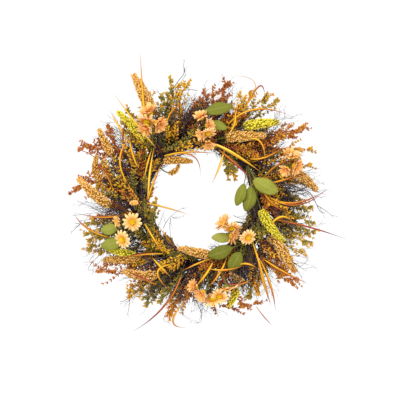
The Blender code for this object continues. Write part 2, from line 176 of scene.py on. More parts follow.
def strip(count, fold, thick):
    # the section of a leaf: out along the top and back underneath, with its edges folded by fold
    top = np.linspace(-1, 1, count // 2)
    a = np.concatenate([top, top[::-1] * 0.96])
    b = np.concatenate([thick - fold * np.abs(top), -thick - fold * np.abs(top[::-1])])
    return a, b


def tubes(pile, paths, radii, sides=6, **more):
    # round tubes; a tube that runs nearly along X turns its section from X, and any other from the front
    chord = unit(paths[:, -1] - paths[:, 0])
    helper = np.where(np.abs(chord[:, 1:2]) > 0.9, [[1.0, 0, 0]], [[0, -1.0, 0]])
    side, up = frames(paths, helper)
    sweep(pile, paths, side, up, *circle(sides), radii, radii, **more)


def buds(pile, places, aheads, ups, lengths, widths, thicks, sides=4, swell=(0.25, 1.0, 0.8, 0.15), **more):
    # small closed lens shapes: narrow at the base, widest at two fifths, pointed at the tip
    share = np.array([0.0, 0.35, 0.75, 1.0])
    many = len(places)
    lengths = np.broadcast_to(lengths, (many,))
    paths = places[:, None] + unit(aheads)[:, None] * lengths[:, None, None] * share[None, :, None]
    side = unit(np.cross(aheads, ups))
    up = unit(np.cross(side, aheads))
    side = np.repeat(side[:, None], len(share), 1)
    up = np.repeat(up[:, None], len(share), 1)
    wide = np.broadcast_to(widths, (many,))[:, None] * np.array(swell)[None] / 2
    deep = np.broadcast_to(thicks, (many,))[:, None] * np.array(swell)[None] / 2
    sweep(pile, paths, side, up, *circle(sides), wide, deep, **more)


def pileToPiece(pile, name, materials, body, replaced=()):
    points = np.concatenate(pile["points"]).astype(np.float32)
    fours = np.concatenate(pile["fours"])
    threes = np.concatenate(pile["threes"])
    mesh = bpy.data.meshes.new(name)
    mesh.vertices.add(len(points))
    mesh.vertices.foreach_set("co", points.ravel())
    corners = np.concatenate([fours.ravel(), threes.ravel()]).astype(np.int32)
    sizes = np.concatenate([np.full(len(fours), 4), np.full(len(threes), 3)])
    starts = np.concatenate([[0], np.cumsum(sizes)[:-1]]).astype(np.int32)
    slots = np.concatenate(pile["fourSlot"] + pile["threeSlot"]).astype(np.int32)
    mesh.loops.add(len(corners))
    mesh.loops.foreach_set("vertex_index", corners)
    mesh.polygons.add(len(sizes))
    mesh.polygons.foreach_set("loop_start", starts)
    mesh.polygons.foreach_set("material_index", slots)
    mesh.polygons.foreach_set("use_smooth", np.ones(len(sizes), bool))
    for word in ("tint", "along", "across"):  # the materials read these
        attribute = mesh.attributes.new(word, "FLOAT", "POINT")
        attribute.data.foreach_set("value", np.concatenate(pile[word]).astype(np.float32))
    mesh.update(calc_edges=True)
    mesh.validate()
    for material in materials:
        mesh.materials.append(finishes[material])
    piece = bpy.data.objects.new(name, mesh)
    bpy.context.scene.collection.objects.link(piece)
    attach(piece, body)
    if replaced:
        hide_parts(*replaced)
    return piece


def nodePoints(node):
    mesh = nodes[node].data
    cloud = np.empty(len(mesh.vertices) * 3, np.float32)
    mesh.vertices.foreach_get("co", cloud)
    return cloud.reshape(-1, 3).astype(float)


def seatOf(cloud):
    # the end of a pick nearest the middle of the vines
    out = np.hypot(cloud[:, 0] - ringCentre[0], cloud[:, 2] - ringCentre[2]) - ringRadius
    depth = np.hypot(out, cloud[:, 1] - ringCentre[1])
    return cloud[depth < depth.min() + 3 * mm].mean(axis=0)


def spineOf(node, steps):
    # the middle line of a pick: its points averaged at equal steps of distance from its seat
    cloud = nodePoints(node)
    seat = seatOf(cloud)
    far = np.linalg.norm(cloud - seat, axis=1)
    reach = far.max()
    wanted = np.linspace(0, reach, 15)
    weight = np.exp(-((far[None] - wanted[:, None]) / (0.055 * reach)) ** 2)
    middle = (weight[:, :, None] * cloud[None]).sum(1) / weight.sum(1)[:, None]
    middle[0] = seat
    middle[-1] = cloud[far > reach - 2 * mm].mean(axis=0)
    middle[1:-1] = (middle[:-2] + 2 * middle[1:-1] + middle[2:]) / 4
    return resample(middle[None], steps)[0], cloud


def thicknessOf(cloud, path):
    # how far each point of a pick lies from its middle line, and at which step of the line
    away = np.linalg.norm(cloud[:, None] - path[None], axis=2)
    return away.min(axis=1), away.argmin(axis=1)


def resample(paths, steps):
    # the same lines with equal spacing
    gaps = np.linalg.norm(np.diff(paths, axis=1), axis=2)
    made = []
    for path, gap in zip(paths, gaps):
        run = np.concatenate([[0], np.cumsum(gap)])
        wanted = np.linspace(0, run[-1], steps)
        made.append(np.stack([np.interp(wanted, run, path[:, i]) for i in range(3)], axis=1))
    return np.array(made)


def growPaths(starts, headings, lifts, lengths, bends, liftBends, steps, dice, wobble=0.0):
    # a path grows step by step: its heading in the ring's plane and its lift to the front both change evenly
    share = np.linspace(0, 1, steps)[None]
    wave = np.sin(share * dice.uniform(3, 9, (len(starts), 1)) + dice.uniform(0, 6.3, (len(starts), 1)))
    heading = np.radians(np.reshape(headings, (-1, 1)) + np.reshape(bends, (-1, 1)) * share) + wobble * wave
    lift = np.radians(np.reshape(lifts, (-1, 1)) + np.reshape(liftBends, (-1, 1)) * share)
    steer = np.stack([np.cos(lift) * np.cos(heading), -np.sin(lift), np.cos(lift) * np.sin(heading)], axis=-1)
    gap = np.reshape(lengths, (-1, 1, 1)) / (steps - 1)
    moved = np.cumsum(steer[:, :-1] * gap, axis=1)
    return np.concatenate([starts[:, None], starts[:, None] + moved], axis=1)


def runOf(paths):
    return np.linalg.norm(np.diff(paths, axis=1), axis=2).sum(axis=1)


def pointsOn(paths, shares):
    # points and directions at the given shares of each path
    steps = paths.shape[1]
    place = np.clip(shares, 0, 0.999) * (steps - 1)
    low = place.astype(int)
    part = (place - low)[..., None]
    rows = np.arange(len(paths))[:, None]
    here = paths[rows, low] * (1 - part) + paths[rows, low + 1] * part
    return here, unit(paths[rows, low + 1] - paths[rows, low])


def arc(first, control, last, steps):
    # a curve from first to last that leaves towards control: first (1-s)^2 + 2 control s (1-s) + last s^2
    share = np.linspace(0, 1, steps)[:, None]
    return first * (1 - share) ** 2 + 2 * control * share * (1 - share) + last * share ** 2


def addNode(tree, kind, feeds=(), stops=(), output=0, **settings):
    # one node with its settings and what feeds it: a socket is linked, "#rrggbb" is a colour, any other word
    # is a mesh attribute and a number is a plain value; stops are the places and colours of a ramp
    node = tree.nodes.new("ShaderNode" + kind)
    for word, value in settings.items():
        setattr(node, word, value)
    for socket, feed in feeds.items() if isinstance(feeds, dict) else enumerate(feeds):
        if isinstance(feed, str) and feed[0] != "#":
            feed = addNode(tree, "Attribute", attribute_name=feed, output="Fac")
        if isinstance(feed, bpy.types.NodeSocket):
            tree.links.new(feed, node.inputs[socket])
        else:
            node.inputs[socket].default_value = linear(feed) if isinstance(feed, str) else feed
    for number, (place, colour) in enumerate(stops):
        band = node.color_ramp.elements
        stop = band[number] if number < len(band) else band.new(place)
        stop.position = place
        stop.color = linear(colour)
    return node.outputs[output] if len(node.outputs) else None


def newMaterial(name):
    # an empty material, what adds nodes to it, and each piece's own coordinates for its patterns
    material = bpy.data.materials.new(name)
    material.use_nodes = True
    material.node_tree.nodes.clear()
    add = functools.partial(addNode, material.node_tree)
    return material, add, add("TexCoord", output="Object")


def surfaced(material, add, colour, height=None, depth=0.0, strength=0.6, **constants):
    # the surface shader with its colour, its constants and its relief, a height field pressed in to depth
    feeds = {"Base Color": colour}
    for word, value in constants.items():
        feeds[{"specular": "Specular IOR Level"}.get(word, word.capitalize())] = value
    if height is not None:
        feeds["Normal"] = add("Bump", {"Strength": strength, "Distance": depth, "Height": height})
    add("OutputMaterial", {"Surface": add("BsdfPrincipled", feeds)})
    return material


def grapevineBark():
    # dried grapevine: matt brown bark, grain a few millimetres wide that runs along the vine
    material, add, place = newMaterial("driedGrapevineBark")
    grain = add("TexNoise", {"Vector": place, "Scale": 1 / (3.5 * mm), "Detail": 4, "Roughness": 0.6})
    swirl = add("Math", [grain, 5.0], operation="MULTIPLY")
    lines = add("Math", ["across", 9.0, swirl], operation="MULTIPLY_ADD")
    lines = add("Math", [lines], operation="SINE")
    ownShade = add("Math", ["tint", 0.4], operation="MULTIPLY")
    tone = add("Math", [grain, 0.6, ownShade], operation="MULTIPLY_ADD")
    bark = add("ValToRGB", [tone], [(0.2, "#150D0F"), (0.5, "#2C1D1C"), (0.75, "#463029"), (0.95, "#6B4E3C")])
    relief = add("Math", [lines, 0.25, grain], operation="MULTIPLY_ADD")
    return surfaced(material, add, bark, relief, 0.8 * mm, roughness=0.85, specular=0.25)


def twigPlastic():
    # wired twigs: moulded plastic over wire, dark brown with a purple cast, faintly mottled
    material, add, place = newMaterial("mouldedTwigPlastic")
    grain = add("TexNoise", {"Vector": place, "Scale": 1 / (4 * mm), "Detail": 3, "Roughness": 0.6})
    ownShade = add("Math", ["tint", 0.6], operation="MULTIPLY")
    tone = add("Math", [grain, 0.45, ownShade], operation="MULTIPLY_ADD")
    bark = add("ValToRGB", [tone], [
        (0.15, "#1E141D"), (0.45, "#33242F"), (0.7, "#4E3B42"), (0.95, "#7C675E")])
    return surfaced(material, add, bark, grain, 0.5 * mm, roughness=0.75, specular=0.3)


def leafPlastic():
    # small moulded leaves: soft plastic airbrushed olive, gold or rust, with painted shade where they leave the
    # stem
    material, add, place = newMaterial("airbrushedLeafPlastic")
    mottle = add("TexNoise", {"Vector": place, "Scale": 1 / (9 * mm), "Detail": 2, "Roughness": 0.6})
    mottle = add("Math", [mottle, 0.5], operation="SUBTRACT")
    tone = add("Math", [mottle, 0.2, "tint"], operation="MULTIPLY_ADD")
    spray = add("ValToRGB", [tone], [
        (0.0, "#655F24"), (0.16, "#877C30"), (0.32, "#A89438"), (0.46, "#E8B01E"),
        (0.58, "#EEAA22"), (0.7, "#DE922C"), (0.84, "#CC742A"), (1.0, "#A85424")])
    # painted shade: each leaf is mixed towards dark brown near its base, where it meets the stem
    shade = add("Math", ["along", -0.36, 0.36], operation="MULTIPLY_ADD")
    spray = add("Mix", {0: shade, 6: spray, 7: "#2E2410"}, output=2, data_type="RGBA")
    relief = add("TexNoise", {"Vector": place, "Scale": 1 / (1.5 * mm), "Detail": 2, "Roughness": 0.6})
    return surfaced(material, add, spray, relief, 0.2 * mm, roughness=0.6, specular=0.25)


def flockedSeed(name, stops):
    # seed heads: foam grains flocked with dyed powder, each grain darker towards its base as painted shade in the
    # gaps between them and paler towards its crown
    material, add, place = newMaterial(name)
    speck = add("TexNoise", {"Vector": place, "Scale": 1 / (1.2 * mm), "Detail": 2, "Roughness": 0.6})
    ownShade = add("Math", ["tint", 0.3], operation="MULTIPLY")
    ownShade = add("Math", [speck, 0.2, ownShade], operation="MULTIPLY_ADD")
    # painted shade: the tone rises along each grain, so the grain bases and the core between them take the dark
    # stops
    tone = add("Math", ["along", 0.7, ownShade], operation="MULTIPLY_ADD")
    powderAndGapShade = add("ValToRGB", [tone], stops)
    return surfaced(material, add, powderAndGapShade, speck, 0.4 * mm, roughness=0.85, specular=0.15)


def petalCloth():
    # daisy petals: heat pressed polyester cloth, pale peach with a deep orange throat and fine ribs
    material, add, place = newMaterial("pressedPetalCloth")
    ribs = add("Math", ["across", 14.0], operation="MULTIPLY")
    ribs = add("Math", [ribs], operation="SINE")
    mottle = add("TexNoise", {"Vector": place, "Scale": 1 / (5 * mm), "Detail": 2, "Roughness": 0.6})
    mottle = add("Math", [mottle, 0.5], operation="SUBTRACT")
    tone = add("Math", [mottle, 0.3, "along"], operation="MULTIPLY_ADD")
    cloth = add("ValToRGB", [tone], [(0.0, "#C66A1C"), (0.3, "#E99E4C"), (0.62, "#F6C680"), (1.0, "#FBDCA2")])
    ownShade = add("Math", ["tint", 0.3], operation="MULTIPLY")
    cloth = add("Mix", {0: ownShade, 6: cloth, 7: "#EEA652"}, output=2, data_type="RGBA")
    return surfaced(material, add, cloth, ribs, 0.25 * mm, 0.4, roughness=0.8, specular=0.15)


def flowerEyeFlock():
    # the eye of a daisy: yellow flock, orange towards its rim
    material, add, _ = newMaterial("flockedFlowerEye")
    tone = add("Math", ["along", -0.2, "tint"], operation="MULTIPLY_ADD")
    flock = add("ValToRGB", [tone], [(0.0, "#F2D61F"), (0.45, "#E6C01C"), (0.85, "#B57C16")])
    return surfaced(material, add, flock, roughness=0.9, specular=0.15)


def leafCloth():
    # green leaves: printed polyester cloth, midrib pale, side veins pressed in, each leaf its own shade
    material, add, place = newMaterial("printedLeafCloth")
    reach = add("Math", ["across"], operation="ABSOLUTE")
    slant = add("Math", [reach, -9.0], operation="MULTIPLY")
    veins = add("Math", ["along", 46.0, slant], operation="MULTIPLY_ADD")
    veins = add("Math", [veins], operation="SINE")
    mottle = add("TexNoise", {"Vector": place, "Scale": 1 / (14 * mm), "Detail": 2, "Roughness": 0.6})
    tone = add("Math", [mottle, 0.3, "tint"], operation="MULTIPLY_ADD")
    green = add("ValToRGB", [tone], [(0.1, "#5C5E14"), (0.4, "#767922"), (0.7, "#8B8D34"), (1.0, "#A09E50")])
    crests = add("Math", [veins, 0.0], operation="MAXIMUM")
    crests = add("Math", [crests, 3.0], operation="POWER")
    crests = add("Math", [crests, 0.06], operation="MULTIPLY")
    green = add("Mix", {0: crests, 6: green, 7: "#B8B264"}, output=2, data_type="RGBA")
    rib = add("Math", [reach, -9.0, 1.0], operation="MULTIPLY_ADD", use_clamp=True)
    ribPrint = add("Math", [rib, 0.25], operation="MULTIPLY")
    green = add("Mix", {0: ribPrint, 6: green, 7: "#B2AE62"}, output=2, data_type="RGBA")
    relief = add("Math", [rib, -1.5], operation="MULTIPLY")
    relief = add("Math", [veins, 0.5, relief], operation="MULTIPLY_ADD")
    return surfaced(material, add, green, relief, 0.4 * mm, roughness=0.65, specular=0.2)


def grassFilm():
    # grass blades: extruded film, cream and gold down the middle, burgundy at the edges and towards the tip
    material, add, _ = newMaterial("stripedGrassFilm")
    stripes = add("Math", ["across", 9.0], operation="MULTIPLY")
    stripes = add("Math", [stripes], operation="SINE")
    lean = add("Math", ["across", 0.22], operation="MULTIPLY")
    lean = add("Math", [stripes, 0.08, lean], operation="MULTIPLY_ADD")
    tone = add("Math", ["along", 0.45, "tint"], operation="MULTIPLY_ADD")
    tone = add("Math", [tone, lean], operation="ADD")
    film = add("ValToRGB", [tone], [
        (0.0, "#F4CE58"), (0.22, "#F0BC1E"), (0.45, "#E2A41A"),
        (0.6, "#B8601A"), (0.74, "#8C2E30"), (1.0, "#682632")])
    edge = add("Math", ["across"], operation="ABSOLUTE")
    edge = add("Math", [edge, 0.48], operation="SUBTRACT")
    edge = add("Math", [edge, 3.2], operation="MULTIPLY", use_clamp=True)
    edge = add("Math", [edge, 0.75], operation="MULTIPLY")
    film = add("Mix", {0: edge, 6: film, 7: "#7E2A12"}, output=2, data_type="RGBA")
    return surfaced(material, add, film, stripes, 0.2 * mm, roughness=0.55, specular=0.2)


def stemPlastic():
    # green stems: moulded plastic, satin
    material, add, place = newMaterial("mouldedStemPlastic")
    mottle = add("TexNoise", {"Vector": place, "Scale": 1 / (6 * mm), "Detail": 2, "Roughness": 0.6})
    ownShade = add("Math", ["tint", 0.5], operation="MULTIPLY")
    tone = add("Math", [mottle, 0.5, ownShade], operation="MULTIPLY_ADD")
    green = add("ValToRGB", [tone], [(0.2, "#4C4A17"), (0.6, "#6F7024"), (0.9, "#94913A")])
    return surfaced(material, add, green, roughness=0.55, specular=0.35)


def steelWire():
    # the hanger: drawn steel wire, satin metal with faint die lines along it
    material, add, place = newMaterial("drawnSteelWire")
    wear = add("TexNoise", {"Vector": place, "Scale": 1 / (5 * mm), "Detail": 3, "Roughness": 0.6})
    steel = add("ValToRGB", [wear], [(0.3, "#7D8084"), (0.7, "#A9ACAF")])
    lines = add("Math", ["across", 20.0], operation="MULTIPLY")
    lines = add("Math", [lines], operation="SINE")
    relief = add("Math", [lines, 0.3, wear], operation="MULTIPLY_ADD")
    return surfaced(material, add, steel, relief, 0.05 * mm, roughness=0.36, metallic=1.0)


def ironEnamel():
    # binding and ring wires: green-grey enamel on soft iron, rubbed in places
    material, add, place = newMaterial("enamelledIronWire")
    wear = add("TexNoise", {"Vector": place, "Scale": 1 / (4 * mm), "Detail": 3, "Roughness": 0.6})
    enamel = add("ValToRGB", [wear], [(0.35, "#4E5440"), (0.7, "#6E745C")])
    relief = add("TexNoise", {"Vector": place, "Scale": 1 / (2 * mm), "Detail": 2, "Roughness": 0.6})
    return surfaced(material, add, enamel, relief, 0.05 * mm, roughness=0.45)


def floorPaint():
    # the studio floor: matt white paint, a little uneven
    material, add, place = newMaterial("paleStudioFloor")
    wear = add("TexNoise", {"Vector": place, "Scale": 3.0, "Detail": 3, "Roughness": 0.6})
    paint = add("ValToRGB", [wear], [(0.3, "#F2F2F0"), (0.7, "#F7F7F5")])
    return surfaced(material, add, paint, roughness=0.8)


# the lowest stops of each ramp are painted shade at the bases of the grains and on the core; the rest is the
# powder's own colour
rustPowderAndGapShade = [(0.05, "#6E4C18"), (0.32, "#A87626"), (0.62, "#C8923C"), (1.0, "#E8BE7C")]
yellowPowderAndGapShade = [(0.05, "#4C5A18"), (0.3, "#8E8C1E"), (0.55, "#CCB82A"), (1.0, "#EADB50")]
finishes = {
    "vine": grapevineBark(), "twig": twigPlastic(), "foliage": leafPlastic(),
    "rust_seed": flockedSeed("flockedSeedRust", rustPowderAndGapShade),
    "yellow_seed": flockedSeed("flockedSeedYellow", yellowPowderAndGapShade),
    "petal_fabric": petalCloth(), "flowerEye": flowerEyeFlock(), "leaf_fabric": leafCloth(),
    "grass_film": grassFilm(), "stem": stemPlastic(), "hanger_steel": steelWire(), "enamel": ironEnamel(),
}
print("finishes made:", len(finishes))


vineLook = {"twigsInStrand": 5, "twigRadius": 3.3 * mm, "laySpread": 4.4 * mm, "turnsPerLap": 9,
            "knotSwell": 0.35, "steps": 260, "randomSeed": 11}


def strandLine(node, steps):
    # a strand's middle line: its points averaged in slices of clock angle, then only the slowest waves kept
    slices, waves = 48, 10
    cloud = nodePoints(node)
    clock = np.arctan2(cloud[:, 2] - ringCentre[2], cloud[:, 0] - ringCentre[0])
    which = np.round((clock % (2 * math.pi)) / (2 * math.pi) * slices).astype(int) % slices
    middle = np.array([cloud[which == i].mean(axis=0) for i in range(slices)])
    keep = np.zeros((steps // 2 + 1, 3), complex)
    keep[:waves] = np.fft.rfft(middle, axis=0)[:waves]
    return np.fft.irfft(keep * steps / slices, n=steps, axis=0)


def makeVines():
    # each twig of a strand: the strand's line + side * spread * cos(turn) + up * spread * sin(turn)
    dice = np.random.default_rng(vineLook["randomSeed"])
    steps = vineLook["steps"]
    count = vineLook["twigsInStrand"]
    share = np.arange(steps) / steps
    lap = 2 * math.pi * share
    for node in vineNodes:
        pile = newPile()
        line = strandLine(node, steps)
        ahead = unit(np.roll(line, -1, 0) - np.roll(line, 1, 0))
        outward = unit(line - ringCentre)
        side = unit(np.cross(ahead, outward))
        up = np.cross(side, ahead)
        for twig in range(count):
            turn = 2 * math.pi * (twig / count + share * vineLook["turnsPerLap"])
            turn = turn + 0.5 * np.sin(lap * dice.integers(3, 7) + dice.uniform(0, 6))
            slack = 0.18 * np.sin(lap * dice.integers(4, 11) + dice.uniform(0, 6))
            spread = vineLook["laySpread"] * (1 + slack)
            path = line + side * (np.cos(turn) * spread)[:, None] + up * (np.sin(turn) * spread)[:, None]
            radius = vineLook["twigRadius"] * dice.uniform(0.75, 1.1)
            knots = np.maximum(0, np.sin(lap * dice.integers(9, 15) + dice.uniform(0, 6))) ** 12
            radii = radius * (1 + vineLook["knotSwell"] * knots + 0.06 * np.sin(lap * 31))
            radii = np.append(radii, radii[0])[None]
            closed = np.concatenate([path, path[:1]])[None]
            sides, ups = frames(closed, np.concatenate([outward, outward[:1]])[None])
            sweep(pile, closed, sides, ups, *circle(8), radii, radii, tint=dice.uniform(0, 1))
        pileToPiece(pile, node + "_twigs", ["vine"], "wreath", [node])


makeVines()
print("vines laid")


bindingLook = {"turns": 3, "pitchAngle": 3.2, "wire": 0.75 * mm, "clear": 0.9 * mm,
               "tailWire": 0.6 * mm, "tailTwist": 22, "tailSway": 0.9 * mm, "tailSpread": 0.8 * mm,
               "tailAngle": 25}


def makeRingWire():
    # the steel ring: a torus, its middle line a circle in the ring's plane
    pile = newPile()
    path = ringPoint(np.linspace(0, 360, 161), 0, 0)[None]
    sides, ups = frames(path, unit(path - ringCentre))
    sweep(pile, path, sides, ups, *circle(10), wireThick / 2, wireThick / 2)
    pileToPiece(pile, "ring_wire_round", ["enamel"], "wreath", ["ring_wire"])


def makeBindingWire(node):
    # turns side by side round the bundle, then two wires twisted into a tail behind it
    low, high = (np.array(corner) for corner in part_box(node))
    middle = (low + high) / 2
    clock = math.degrees(math.atan2(middle[2] - ringCentre[2], middle[0] - ringCentre[0]))
    reach = (high[1] - low[1]) / 2 - bindingLook["clear"]
    pile = newPile()
    share = np.linspace(0, 1, 150)
    wound = roundVines(clock + (share - 0.5) * bindingLook["pitchAngle"],
                       360 * bindingLook["turns"] * share + 180, reach)
    tubes(pile, wound[None], bindingLook["wire"], 8)
    tail = np.linspace(0, 1, 30)
    for phase in (0, math.pi):
        twist = tail * bindingLook["tailTwist"] + phase
        swing = np.degrees(np.sin(twist) * bindingLook["tailSway"] / ringRadius)
        away = reach + bindingLook["tailSpread"] * np.cos(twist)
        path = roundVines(clock + swing, 180 - bindingLook["tailAngle"] * tail, away)
        tubes(pile, path[None], bindingLook["tailWire"], 6)
    pileToPiece(pile, node + "_turns", ["enamel"], "wreath", [node])


makeRingWire()
for bindingNode in nodesNamed("binding_wire"):
    makeBindingWire(bindingNode)


# the hanger: the staple bent over the vines, and the loop with an eye round the staple's bar at each end
hangerLook = {"stapleWire": 1.3 * mm, "loopWire": 1.2 * mm, "eyeGap": 0.6 * mm, "touchGap": 0.4 * mm,
              "barHalf": 15 * mm, "wrap": 200, "loopHalf": 8.5 * mm, "lean": 6.0}


def makeStaple():
    wire = hangerLook["stapleWire"]
    barHalf = hangerLook["barHalf"]
    barBack = hingePoint[1] - ringCentre[1]
    turn = math.degrees(math.asin(barHalf / ringRadius))
    near = vineThick + hangerLook["touchGap"] + wire
    share = np.linspace(0, 1, 60)
    legs = []
    for side in (-1, 1):
        section = 180 - hangerLook["wrap"] * (1 - share)
        leg = roundVines(90 - side * turn, section, near + (barBack - near) * share ** 3)
        leg[:, 2] += (hingePoint[2] - leg[-1, 2]) * share ** 6  # up to the hinge line, so the eyes run true
        legs.append(leg)
    bar = np.linspace(legs[0][-1], legs[1][-1], 16)[1:-1]
    pile = newPile()
    tubes(pile, np.concatenate([legs[0], bar, legs[1][::-1]])[None], wire, 12)
    pileToPiece(pile, "hanger_staple_wire", ["hanger_steel"], "wreath", ["hanger_staple"])


def loopPath():
    # worked out upright round the hinge, then leaned: x stays, (y, z) turn by the lean
    wire = hangerLook["loopWire"]
    half = hangerLook["loopHalf"]
    eye = hangerLook["stapleWire"] + hangerLook["eyeGap"] + wire
    pitch = 2 * wire + hangerLook["eyeGap"]
    lean = math.radians(hangerLook["lean"])
    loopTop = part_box("hanging_loop")[1][2]
    height = (loopTop - hingePoint[2] - wire * 0.9 - eye * math.sin(lean)) / math.cos(lean)
    arch = height - half
    turns = np.linspace(0, 1, 40)
    angle = 2 * math.pi * turns
    right = np.stack([half + pitch * (1 - turns), -eye * np.cos(angle), -eye * np.sin(angle)], axis=1)
    leg = np.linspace([half, -eye, 0], [half, -eye, arch], 14)[1:-1]
    bend = np.linspace(0, math.pi, 34)
    top = np.stack([half * np.cos(bend), -eye + 0 * bend, arch + half * np.sin(bend)], axis=1)
    rightHalf = np.concatenate([right, leg])
    path = np.concatenate([rightHalf, top, rightHalf[::-1] * [-1, 1, 1]])
    y = path[:, 1] * math.cos(lean) - path[:, 2] * math.sin(lean)
    z = path[:, 1] * math.sin(lean) + path[:, 2] * math.cos(lean)
    return hingePoint + np.stack([path[:, 0], y, z], axis=1)


def makeLoop():
    path = loopPath()
    ahead = unit(np.gradient(path, axis=0))
    side = np.empty_like(path)
    side[0] = unit(np.cross(ahead[0], [1.0, 0.2, 0.1]))
    for step in range(1, len(path)):  # carried along so that the tube never pinches
        side[step] = unit(side[step - 1] - ahead[step] * np.dot(side[step - 1], ahead[step]))
    up = np.cross(side, ahead)
    pile = newPile()
    wire = hangerLook["loopWire"]
    sweep(pile, path[None], side[None], up[None], *circle(12), wire, wire)
    pileToPiece(pile, "hanging_loop_wire", ["hanger_steel"], "hanger", ["hanging_loop"])


makeStaple()
makeLoop()
print("wires and hanger made")


seedLook = {"seedLength": 6.6 * mm, "seedWidth": 4.3 * mm, "spacing": 4.7 * mm, "tilt": 52, "core": 0.58,
            "stem": 1.5 * mm, "pith": 1 * mm, "randomSeed": 21}


def headOutline(share):
    # a seed head's width along it: min(1, 0.6 + 3 share) * (1 - 0.62 share ^ 2.6)
    return np.minimum(1, 0.6 + 3 * share) * (1 - 0.62 * share ** 2.6)


def addSeedHead(pile, path, start, radius, dice, hue, seedSlot=0, stemSlot=1):
    # path runs from the seat to the tip; the head fills it from start, a share of its length, to the end
    steps = len(path)
    stem = np.where(np.linspace(0, 1, steps) < start, seedLook["stem"], seedLook["pith"])
    tubes(pile, path[None], stem[None], 7, tint=0.4, slot=stemSlot)
    inner = resample(path[None, int(start * (steps - 1)):], 20)
    core = radius * seedLook["core"] * headOutline(np.linspace(0, 1, 20))
    # the core is given the darkest end of the seed ramp: painted shade seen in the gaps between the seeds
    tubes(pile, inner, core[None], 8, tint=0.5, slot=seedSlot, alongFrom=([0.0], [0.1]))
    length = runOf(path[None])[0] * (1 - start)
    rows = max(4, int(length / seedLook["spacing"]))
    around = max(4, int(round(2 * math.pi * radius * 0.8 / seedLook["spacing"])))
    count = rows * around
    number = np.arange(count)
    place = (number + 0.5) / count
    here, ahead = pointsOn(path[None], (start + (1 - start) * place * 0.985)[None])
    here, ahead = here[0], ahead[0]
    side = unit(np.cross(ahead, [0.0, -1.0, 0.02]))
    up = np.cross(side, ahead)
    turn = goldenTurn * number + dice.uniform(-0.3, 0.3, count)
    outward = side * np.cos(turn)[:, None] + up * np.sin(turn)[:, None]
    swell = headOutline(place)
    tilt = np.radians(seedLook["tilt"] + dice.uniform(-16, 16, count) - 26 * place)
    steer = ahead * np.cos(tilt)[:, None] + outward * np.sin(tilt)[:, None]
    size = (0.72 + 0.28 * swell) * dice.uniform(0.78, 1.18, count)
    sink = radius * swell * (seedLook["core"] - 0.06)
    toRim = (radius * swell * 1.04 - sink) / np.sin(tilt) + 1.2 * mm
    lengths = np.minimum(seedLook["seedLength"] * size, toRim)
    width = seedLook["seedWidth"] * size
    tint = np.clip(hue + dice.uniform(-0.35, 0.35, count), 0, 1)
    seedShape = (0.45, 0.95, 1.0, 0.4)
    buds(pile, here + outward * sink[:, None], steer, outward, lengths, width, width * 0.9, 5, seedShape,
         tint=tint, slot=seedSlot)


def makeSeedHeads():
    dice = np.random.default_rng(seedLook["randomSeed"])
    for node in nodesNamed("seed_spike"):
        path, cloud = spineOf(node, 44)
        gap, nearest = thicknessOf(cloud, path)
        radius = gap.max()
        start = nearest[gap > radius * 0.5].min() / (len(path) - 1)
        pile = newPile()
        addSeedHead(pile, path, start, radius, dice, dice.uniform(0.3, 0.7))
        pileToPiece(pile, node + "_head", [slotOfNode[node], "stem"], "wreath", [node])


makeSeedHeads()
print("seed heads made")


daisyLook = {"petals": 13, "layers": 2, "eyeShare": 0.27, "petalWidth": 0.31, "cup": 0.15, "eyeBuds": 60,
             "layerGap": 1.4 * mm, "stem": 1.5 * mm, "randomSeed": 5}
bloomFinishes = ["petal_fabric", "flowerEye", "stem"]


def addPetals(pile, middle, face, across, down, radius, layer, closed, dice):
    # a petal is a path from the eye's rim to the tip, lifted by cup * sin, with a rounded width
    share = np.linspace(0, 1, 8)
    count = daisyLook["petals"] - 2 * layer
    turn = 2 * math.pi * (np.arange(count) + 0.5 * layer) / count + dice.uniform(-0.09, 0.09, count)
    ray = across * np.cos(turn)[:, None] + down * np.sin(turn)[:, None]
    reach = radius * dice.uniform(0.88, 1.03, count) * (1 - 0.08 * layer)
    droop = dice.uniform(-0.16, 0.12, count) - 0.05 * layer
    run = radius * 0.16 + (reach[:, None] - radius * 0.16) * share[None]
    rise = daisyLook["cup"] * np.sin(math.pi * 0.8 * share)[None] + droop[:, None] * share[None] ** 2
    rise = radius * rise - daisyLook["layerGap"] * layer
    fold = np.radians(closed * dice.uniform(0.6, 1.3, (count, 1)))  # half closed heads turn up
    run, rise = run * np.cos(fold) - rise * np.sin(fold), run * np.sin(fold) + rise * np.cos(fold)
    path = middle + ray[:, None] * run[..., None] + face * rise[..., None]
    sides, ups = frames(path, np.broadcast_to(face, (count, 3)), dice.uniform(-0.22, 0.22, (count, 1)))
    wide = radius * (daisyLook["petalWidth"] + 0.0012 * closed) / 2
    wide = (wide * np.sin(math.pi * (0.10 + 0.80 * share)) ** 0.7)[None]
    tint = dice.uniform(0, 1, count) + closed / 28
    sweep(pile, path, sides, ups, *strip(10, 0.16, 0.05), wide, wide.clip(1.2 * mm), tint=tint, slot=0)


def addEye(pile, middle, face, across, down, eye):
    # small buds set in a golden-angle spiral over a low dome
    count = daisyLook["eyeBuds"]
    number = np.arange(count)
    spread = np.sqrt((number + 0.5) / count)
    turn = goldenTurn * number
    ray = across * np.cos(turn)[:, None] + down * np.sin(turn)[:, None]
    rise = eye * (0.35 + 0.42 * (1 - spread ** 2))
    place = middle + ray * (eye * spread)[:, None] + face * rise[:, None]
    steer = unit(face + ray * (0.9 * spread)[:, None])
    buds(pile, place - steer * 0.8 * mm, steer, ray + face * 0.01, eye * 0.42, eye * 0.26, eye * 0.26, 5,
         tint=spread ** 2 * 0.7, slot=1)
    dome = eye * np.array([[1.0, 0.98, 0.7, 0.2]])
    path = middle - face * (0.10 * eye) + face * (np.linspace(0, 1, 4)[None, :, None] * eye * 0.72)
    sweep(pile, path, *frames(path, across[None]), *circle(12), dome, dome, tint=0.6, slot=1)


